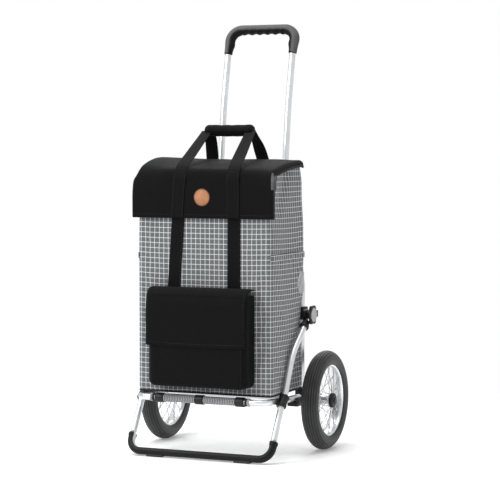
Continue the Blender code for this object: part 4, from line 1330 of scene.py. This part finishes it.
def add_side_pocket(wall, on_side, side):
    """The turned top edge of the pocket across the bag's side: a hem that stands off the wall."""
    rows = [(487.0, 0.5), (489.0, 1.5), (497.0, 2.0), (500.6, 1.9), (501.4, 1.2), (500.8, 0.4)]
    grid, cloth = [], []
    for height, lift in rows:
        line, flat = [], []
        for index in on_side:
            y = wall[0, index, 1]
            edge = min(1.0, 0.35 + min(abs(y - BAG_FRONT), abs(y - BAG_BACK)) / 30.0)
            line.append(wall_point(wall, row_at(wall, index, height), index, lift * edge))
            flat.append((y * MM, height * MM))
        grid.append(line)
        cloth.append(flat)
    hem = grid_piece(f"side_pocket_hem_{side}", np.array(grid), cloth=np.array(cloth))
    thicken(hem, 0.8)
    fold_with_frame(finish_piece(outward(hem), "rear_frame", "check"))
    line = [wall_point(wall, row_at(wall, index, SIDE_POCKET_Z + 3.0), index, 0.5) for index in on_side]
    seam = rod_piece(f"side_pocket_seam_{side}", smooth_line(line, 4.0), 0.9, 8)
    fold_with_frame(finish_piece(seam, "rear_frame", "piping"))


def thicken(obj, thickness):
    modifier = obj.modifiers.new("thicken", "SOLIDIFY")
    modifier.thickness = thickness * MM
    modifier.offset = 0.0
    bake_modifiers(obj)


REFLECTOR_R = 28.5
REFLECTOR_Y = -67.5
REFLECTOR_Z = 425.5


def add_reflector(wall, on_side, outline, side):
    """A round reflective patch wrapped over the side's rear edge."""
    spacing = float(np.linalg.norm(outline[on_side[3]] - outline[on_side[4]]))
    flat_side = [index for index in on_side if abs(outline[index, 0]) >= BAG_HALF - 0.5]
    rear = min(flat_side, key=lambda index: abs(wall[0, index, 1] - REFLECTOR_Y))
    backward = 1 if outline[(rear + 1) % len(outline), 1] > outline[rear, 1] else -1
    verts, faces = [], []
    rings, turns = 9, 56
    lifts = (0.9, 0.1)
    for lift in lifts:
        for ring in range(1, rings + 1):
            reach = REFLECTOR_R * ring / rings
            for turn in np.linspace(0.0, 2 * math.pi, turns, endpoint=False):
                column = (rear + backward * reach * math.cos(turn) / spacing) % len(outline)
                row = row_at(wall, int(round(column)) % len(outline), REFLECTOR_Z + reach * math.sin(turn))
                verts.append(wall_point(wall, row, column, lift))
    middle = len(verts)
    for lift in lifts:
        verts.append(wall_point(wall, row_at(wall, rear, REFLECTOR_Z), rear, lift))
    for layer in (0, 1):
        start = layer * rings * turns
        for face in grid_faces(rings, turns, wrap_columns=True):
            faces.append([start + corner for corner in face])
        for turn in range(turns):
            faces.append([middle + layer, start + turn, start + (turn + 1) % turns])
    outer, under = (rings - 1) * turns, (2 * rings - 1) * turns
    for turn in range(turns):
        after = (turn + 1) % turns
        faces.append([outer + turn, outer + after, under + after, under + turn])
    patch = outward(new_piece(f"reflector_patch_{side}", verts, faces))
    finish_piece(patch, "rear_frame", "film", [f"reflector_{side}"], smooth=50.0)
    fold_with_frame(patch)


# ---------------------------------------------------------------- straps

STRAP_WIDTH = 33.0
STRAP_THICK = 1.8
SEAM_INSET = 2.2
STRAP_FOOT_Z = 424.0
STRAP_HEAD_Z = 695.0
STRAP_X = {"left": (-80.0, -61.0), "right": (81.0, 83.0)}


def strap_x(side, z):
    """The straps lean: each centre line's place across the bag at height z."""
    foot, head = STRAP_X[side]
    share = np.clip((z - STRAP_FOOT_Z) / (STRAP_HEAD_Z - STRAP_FOOT_Z), 0.0, 1.0)
    return foot + (head - foot) * share


def add_bag_straps():
    for side, _ in SIDES:
        heights = np.arange(402.0, 623.0, 6.0)
        depths = BAG_FRONT - 0.5 - STRAP_THICK / 2 - 0.5 * np.exp(-((heights - 560.0) / 60.0) ** 2)
        line = np.stack([strap_x(side, heights), depths, heights], axis=1)
        strap = band_piece(f"strap_{side}", line, STRAP_WIDTH, STRAP_THICK)
        fold_with_frame(finish_piece(strap, "rear_frame", "webbing", [f"bag_strap_{side}"]))
        add_edge_seams(f"strap_stitch_{side}", line, STRAP_THICK / 2, "rear_frame")


def add_edge_seams(name, line, lift, body):
    """Stitching down both edges of a strap, on its front."""
    for edge, sign in (("inner", -1.0), ("outer", 1.0)):
        seam = line + np.array([sign * (STRAP_WIDTH / 2 - SEAM_INSET), -lift, 0.0])
        fold_with_frame(stitches(f"{name}_{edge}", seam, (0.0, -1.0, 0.0), body))


# ---------------------------------------------------------------- lid

LID_HALF = 190.0
LID_THICK = 3.2
LID_TURN = 0.94
LID_LIP = 14.0
LID_SWELL = 5.0
LID_SWELL_LEFT = 10.0
LID_LENGTH = 345.0
LID_MIDDLE = [(-253.0, 589.0), (-253.4, 630.0), (-253.4, 675.0), (-252.4, 696.0),
              (-247.5, 705.6), (-236.0, 709.5), (-215.0, 712.5), (-153.0, 721.0),
              (-95.0, 728.5), (-62.0, 731.4), (-47.0, 730.0)]
LID_SIDE = [(-253.0, 589.0), (-253.2, 622.0), (-252.8, 658.0), (-250.0, 681.0),
            (-243.0, 696.5), (-230.0, 705.6), (-211.0, 711.0), (-153.0, 720.7),
            (-95.0, 728.0), (-62.0, 730.8), (-47.0, 728.6)]


def lid_lines():
    """Lid profiles at the middle and at the sides with matching points."""
    middle = smooth_line([(0.0, y, z) for y, z in LID_MIDDLE], 4.0)[:, 1:]
    side = smooth_line([(0.0, y, z) for y, z in LID_SIDE], 4.0)[:, 1:]
    count = len(middle)
    shares = np.linspace(0.0, len(side) - 1, count)
    side = np.stack([np.interp(shares, np.arange(len(side)), side[:, axis]) for axis in (0, 1)], axis=1)
    return middle, side


LID_LINES = lid_lines()


def lid_profile(at, across):
    """Y and Z on the lid before its ripples, at a place along its matched profiles."""
    middle, side = LID_LINES
    index = np.arange(len(middle))
    blend = smoothstep(abs(across), 0.35, 1.0)
    return np.array([np.interp(at, index, middle[:, axis]) * (1 - blend)
                     + np.interp(at, index, side[:, axis]) * blend for axis in (0, 1)])


def lid_point(share, across, lift=0.0):
    """A point on the lid: share 0..1 from the flap's hem to the hinge, across -1..1."""
    last = len(LID_LINES[0]) - 1
    at = share * last
    point = lid_profile(at, across)
    swell = LID_SWELL * (1 - 0.6 * smoothstep(across, 0.6, 1.0))
    swell += LID_SWELL_LEFT * smoothstep(-across, 0.3, 0.9)
    point[1] += swell * math.sin(math.pi * min(1.0, max(0.0, (share - 0.28) / 0.72)))
    ahead = lid_profile(min(at + 0.5, last), across) - lid_profile(max(at - 0.5, 0.0), across)
    normal = np.array([-ahead[1], ahead[0]]) / np.linalg.norm(ahead)
    edge = max(0.0, (abs(across) - LID_TURN) / (1.0 - LID_TURN))
    turned = smoothstep(point[1], 676.0, 712.0)
    roll = LID_LIP * (1 - math.sqrt(max(0.0, 1 - edge ** 2))) * turned
    ripple = 0.42 * math.sin(across * 7.3 + share * 5.0) + 0.3 * math.sin(across * 15.1 - share * 9.0)
    point = point + normal * (lift - roll + ripple * (1 - edge))
    half = LID_HALF - 4.0 * smoothstep(point[1], 640.0, 725.0)
    turned_in = math.copysign(max(0.0, abs(across) - LID_TURN) * 0.35 * turned, across)
    return np.array([(across - turned_in) * half, point[0], point[1]])


def add_lid():
    rows, columns = 92, 121
    shares = np.linspace(0.0, 1.0, rows)
    acrosses = np.sin(np.linspace(-1.0, 1.0, columns) * 1.48) / math.sin(1.48)
    grid, cloth = [], []
    for share in shares:
        grid.append([lid_point(share, across, -LID_THICK / 2) for across in acrosses])
        cloth.append([(across * LID_HALF * MM, share * LID_LENGTH * MM) for across in acrosses])
    panel = grid_piece("lid_panel", np.array(grid), cloth=np.array(cloth))
    thicken(panel, LID_THICK)
    finish_piece(outward(panel), "lid", "black_cloth", ["lid_flap"], smooth=60.0)
    fold_with_frame(panel)
    for side, sign in SIDES:
        shares = np.linspace(0.004, 0.996, 110)
        line = np.array([lid_point(share, sign, -LID_THICK / 2) for share in shares])
        radii = 2.0 + 1.1 * smoothstep(np.linspace(0.0, 1.0, len(line)), 0.2, 0.7)
        grid = sweep_grid(line, lambda index: circle(radii[index], 14))
        binding = outward(grid_piece(f"lid_binding_{side}", grid, wrap_columns=True, caps=True))
        fold_with_frame(finish_piece(binding, "lid", "piping"))
    hem = np.array([lid_point(0.028, across, 0.1) for across in np.linspace(-0.97, 0.97, 220)])
    fold_with_frame(stitches("lid_hem_stitch", hem, (0.0, -1.0, 0.0), "lid"))


WRAP_Y = -90.0
WRAP_Z = 804.0
WRAP_HALF = 65.0
WRAP_R = 15.0
OVERLAP_FROM, OVERLAP_TO = 0.6, 3.4


def add_carry_straps():
    """Webbing over the flap, then straight to the wrap; and the shorter pair behind it."""
    for side, sign in SIDES:
        lower = []
        for share in np.linspace(0.006, 0.335, 44):
            x = float(strap_x(side, lid_point(share, 0.4)[2]))
            lower.append(lid_point(share, x / LID_HALF, 0.35 + STRAP_THICK / 2))
        start = np.array([lower[-1][0] + 1.0, -241.0, 716.0])
        end = np.array([sign * 60.0, WRAP_Y - 6.0, WRAP_Z - 1.0])
        upper = [start + (end - start) * share for share in (0.0, 0.3, 0.6, 0.86, 1.0)]
        line = smooth_line([lower[0], *lower[8::8], *upper], 4.0)
        add_strap(f"carry_strap_{side}", line, 730.0, 0.0, [f"carry_strap_front_{side}"])
        add_edge_seams(f"carry_stitch_{side}", line[line[:, 2] < 700.0], STRAP_THICK / 2 + 0.05, "lid")
        top = int(np.argmin(np.abs(line[:, 2] - 703.0)))
        normal = np.array([0.0, -0.8, 0.6])
        reach = STRAP_WIDTH / 2 - 2.0
        for step in (0, 2):
            middle = line[top + step] + normal * (STRAP_THICK / 2)
            seam = [middle + np.array([x, 0.0, 0.0]) for x in np.linspace(-reach, reach, 60)]
            fold_with_frame(stitches(f"carry_bar_{side}_{step}", np.array(seam), normal, "lid"))
        rear = smooth_line([(sign * 70.0, -42.0, 729.5), (sign * 68.5, -47.0, 742.0),
                            (sign * 64.0, -62.0, 772.0), (sign * 59.0, WRAP_Y + 6.0, WRAP_Z - 2.0)], 4.0)
        add_strap(f"rear_strap_{side}", rear, 745.0, sign, [f"carry_strap_rear_{side}"])


def add_strap(name, line, narrow_from, lean, nodes):
    """A strap that gathers as it nears the wrap, and may lean inward there."""
    gather = smoothstep(line[:, 2], narrow_from, WRAP_Z)
    across = np.stack([1 - 0.2 * gather, np.zeros(len(line)), -0.45 * lean * gather], axis=1)
    strap = band_piece(name, line, STRAP_WIDTH * (1 - 0.16 * gather), STRAP_THICK, across)
    fold_with_frame(finish_piece(strap, "lid", "webbing", nodes))


def wrap_radius(x, turn):
    """The wrap's radius: soft ends, a flattened underside and the step where it overlaps."""
    end = max(0.0, 1 - (WRAP_HALF - abs(x)) / 9.0)
    radius = WRAP_R * (1.0 - 0.24 * end ** 2) - 0.6
    if 3.9 < turn < 5.5:
        radius -= 0.9 * math.sin((turn - 3.9) / 1.6 * math.pi)
    if OVERLAP_FROM < turn < OVERLAP_TO:
        radius += 1.1 * min(1.0, min(turn - OVERLAP_FROM, OVERLAP_TO - turn) / 0.12)
    return radius + 0.25 * math.sin(x * 0.21 + turn * 2.0)


def add_carry_wrap():
    """Wrap that closes round both pairs of straps, sagging a little in its middle."""
    inside = WRAP_HALF - 0.8
    rows = []
    for x in np.concatenate([[-WRAP_HALF], np.linspace(-inside, inside, 54), [WRAP_HALF]]):
        end = max(0.0, 1 - (WRAP_HALF - abs(x)) / 9.0)
        middle_z = WRAP_Z - 1.2 * (1 - (x / WRAP_HALF) ** 2) - 1.5 * end ** 2
        ring = []
        for turn in np.linspace(0.0, 2 * math.pi, 56, endpoint=False):
            radius = wrap_radius(x, turn)
            ring.append((x, WRAP_Y + radius * math.cos(turn), middle_z + radius * math.sin(turn)))
        rows.append(ring)
    wrap = outward(grid_piece("carry_wrap", np.array(rows), wrap_columns=True, caps=True))
    finish_piece(wrap, "lid", "black_cloth", ["carry_grip"])
    fold_with_frame(wrap)


BADGE_FACE = -256.0
BADGE_Z = 640.5


def badge_disc(name, rows):
    """A disc on the flap's front from (radius, distance back from its face) points."""
    turns = np.linspace(0.0, 2 * math.pi, 96, endpoint=False)
    grid = []
    for radius, back in rows:
        radius = max(radius, 0.02)
        grid.append([(radius * math.cos(turn), BADGE_FACE + back, BADGE_Z + radius * math.sin(turn))
                     for turn in turns])
    return outward(grid_piece(name, np.array(grid), wrap_columns=True, caps=True))


def add_badge():
    """Round leather patch with a dark burnt edge and a ring of stitches."""
    patch = badge_disc("badge_patch", [(0.0, 0.0), (18.9, 0.0), (19.8, 0.35), (20.2, 1.0), (20.2, 1.9)])
    fold_with_frame(finish_piece(patch, "lid", "leather", ["badge"]))
    edge = badge_disc("badge_edge", [(19.6, 0.3), (20.6, 0.1), (21.9, 0.5), (22.2, 1.1),
                                     (22.0, 1.9), (19.6, 1.9)])
    fold_with_frame(finish_piece(edge, "lid", "leather_edge"))
    ring = np.array([(17.6 * math.cos(turn), BADGE_FACE - 0.1, BADGE_Z + 17.6 * math.sin(turn))
                     for turn in np.linspace(0.0, 2 * math.pi, 160)])
    seam = stitches("badge_stitch", ring, (0.0, -1.0, 0.0), "lid", 2.0, 1.6, 0.28)
    seam.data.materials.clear()
    seam.data.materials.append(MATERIALS["leather_edge"])
    fold_with_frame(seam)


def add_label():
    """A small blank label folded round the lid's right edge."""
    grid = []
    for share in np.linspace(0.228, 0.372, 20):
        edge = lid_point(share, 1.0, 1.2)
        row = [lid_point(share, across, 1.3) for across in np.linspace(0.968, 0.998, 6)]
        row += [edge + np.array([2.4 * math.sin(turn), 5.5 * (1 - math.cos(turn)) + turn, 0.0])
                for turn in np.linspace(0.35, math.pi / 2, 6)]
        row += [row[-1] + np.array([0.0, 3.0 * step, 0.3 * step]) for step in (1.0, 2.0)]
        grid.append(row)
    label = grid_piece("label_tab", np.array(grid))
    thicken(label, 0.8)
    finish_piece(outward(label), "lid", "label", ["side_label"], smooth=60.0)
    fold_with_frame(label)


# ---------------------------------------------------------------- front pocket

POCKET_HALF = 137.0
POCKET_TAPER = 6.0
POCKET_BACK = -248.2
POCKET_FRONT = -294.0
POCKET_LOW = 178.0
POCKET_TOP = 404.0
POCKET_WALL = 2.0
FLAP_THICK = 2.2


def pocket_point(x, y, z, inset):
    """A point of the pocket's plan raised to height z: crowned, with soft corners and sides."""
    wide = abs(x) / POCKET_HALF
    up = math.sin((z - POCKET_LOW) / (POCKET_TOP - POCKET_LOW) * math.pi)
    low = max(0.0, (187.0 - z) / 9.0)
    drawn = 7.0 * (1 - math.sqrt(max(0.0, 1 - low ** 2))) + inset
    front = smoothstep(-y, 270.0, 290.0)
    gusset = 0.0
    if -y < 292.0:
        gusset = max(0.0, 3.0 * (1 - front) * up * (1 - abs((-y - 270.0) / 22.0)))
    taper = POCKET_TAPER * np.clip((-y - 248.0) / 46.0, 0.0, 1.0) * wide
    low_corner = 9.0 * max(0.0, 1 - (z - POCKET_LOW) / 16.0) ** 2 * wide ** 12
    crown = 1.6 * math.cos(x / POCKET_HALF * math.pi / 2) * up
    ripple = 0.5 * math.sin(x * 0.06 + z * 0.045) * front
    return (x - math.copysign(drawn * wide ** 4 + gusset + taper + low_corner, x),
            y + (drawn - crown - ripple + 1.4) * front, z + inset * (z < 190.0))


def add_pocket():
    """Open-topped fabric pocket with soft corners and a slight crown."""
    corners = [(POCKET_HALF, POCKET_BACK, 0.0), (POCKET_HALF, POCKET_FRONT, 0.0),
               (-POCKET_HALF, POCKET_FRONT, 0.0), (-POCKET_HALF, POCKET_BACK, 0.0)]
    line = rounded_path(corners, (15.0, 15.0), 5.0)[:, :2]
    heights = np.concatenate([[178.6, 179.2, 180.6, 183.0, 187.0], np.linspace(192.0, POCKET_TOP, 42)])
    lengths = run_along(line)
    outer, inner = (np.array([[pocket_point(x, y, z, inset) for x, y in line] for z in heights])
                    for inset in (0.0, POCKET_WALL))
    cloth = np.array([[(length * MM, z * MM) for length in lengths] for z in heights])
    grid = np.concatenate([outer, inner[::-1]])
    flat = np.concatenate([cloth, cloth[::-1]])
    rows, columns = grid.shape[:2]
    faces = grid_faces(rows, columns)
    last = (rows - 1) * columns
    faces.append(list(range(columns)))
    faces.append(list(range(last, last + columns)))
    for column in (0, columns - 1):
        for row in range(rows // 2 - 1):
            faces.append([row * columns + column, (row + 1) * columns + column,
                          (rows - 2 - row) * columns + column, (rows - 1 - row) * columns + column])
    faces.append([0, columns - 1, last + columns - 1, last])
    pocket = outward(new_piece("pocket_body", grid.reshape(-1, 3), faces, flat.reshape(-1, 2)))
    finish_piece(pocket, "rear_frame", "black_cloth", ["front_pocket"], smooth=60.0)
    fold_with_frame(pocket)
    for side, sign in SIDES:
        x = sign * (POCKET_HALF - POCKET_TAPER - 10.5)
        seam = np.array([(x, POCKET_FRONT - 0.2, z) for z in np.arange(190.0, 400.0, 3.0)])
        fold_with_frame(stitches(f"pocket_stitch_{side}", seam, (0.0, -1.0, 0.0), "rear_frame"))


FLAP_LINE = [(-250.0, 419.0), (-257.0, 420.6), (-269.0, 419.4), (-282.0, 413.5), (-291.5, 402.0),
             (-296.2, 385.0), (-297.3, 362.0), (-297.3, 320.0), (-297.0, 279.0)]
FLAP_MIDDLE = smooth_line([(0.0, y, z) for y, z in FLAP_LINE], 4.0)[:, 1:]
FLAP_ALONG = run_along(FLAP_MIDDLE)
FLAP_HALF = POCKET_HALF + 2.0


def flap_point(index, across, lift=0.0):
    """A point on the pocket's flap: index along its profile, across -1..1."""
    ahead = FLAP_MIDDLE[min(index + 1, len(FLAP_MIDDLE) - 1)] - FLAP_MIDDLE[max(index - 1, 0)]
    normal = np.array([ahead[1], -ahead[0]]) / np.linalg.norm(ahead)
    share = FLAP_ALONG[index] / FLAP_ALONG[-1]
    low = smoothstep(share, 0.3, 1.0)
    edge = max(0.0, (abs(across) - 0.94) / 0.06)
    wave = (0.49 * math.sin(across * 5.0 + 0.6) + 0.28 * math.sin(across * 11.0)) * low
    bend = -2.2 * edge ** 2 - 0.6 * smoothstep(share, 0.94, 1.0)
    hang = -2.2 * (1 - across ** 2) * low
    point = FLAP_MIDDLE[index] + normal * (lift + wave + bend)
    narrow = POCKET_TAPER * np.clip((-point[0] - 250.0) / 46.0, 0.0, 1.0)
    return across * (FLAP_HALF - narrow), point[0], point[1] + hang


def add_pocket_flap():
    acrosses = np.sin(np.linspace(-1, 1, 81) * 1.42) / math.sin(1.42)
    grid, cloth = [], []
    for index, along in enumerate(FLAP_ALONG):
        grid.append([flap_point(index, across, -FLAP_THICK / 2) for across in acrosses])
        cloth.append([(across * FLAP_HALF * MM, along * MM) for across in acrosses])
    flap = grid_piece("pocket_cover", np.array(grid), cloth=np.array(cloth))
    thicken(flap, FLAP_THICK)
    finish_piece(outward(flap), "pocket_lid", "black_cloth", ["pocket_flap"], smooth=60.0)
    fold_with_frame(flap)
    hem = len(FLAP_ALONG) - 3
    seams = {"sides_left": [flap_point(index, -0.965, 0.1) for index in range(8, hem)],
             "sides_right": [flap_point(index, 0.965, 0.1) for index in range(8, hem)],
             "hem": [flap_point(hem, across, 0.1) for across in np.linspace(-0.965, 0.965, 160)]}
    for name, seam in seams.items():
        fold_with_frame(stitches(f"flap_stitch_{name}", np.array(seam), (0.0, -1.0, 0.0), "pocket_lid"))


add_metal_and_plastic()
add_bag()
add_bag_straps()
add_lid()
add_carry_straps()
add_carry_wrap()
add_badge()
add_label()
add_pocket()
add_pocket_flap()
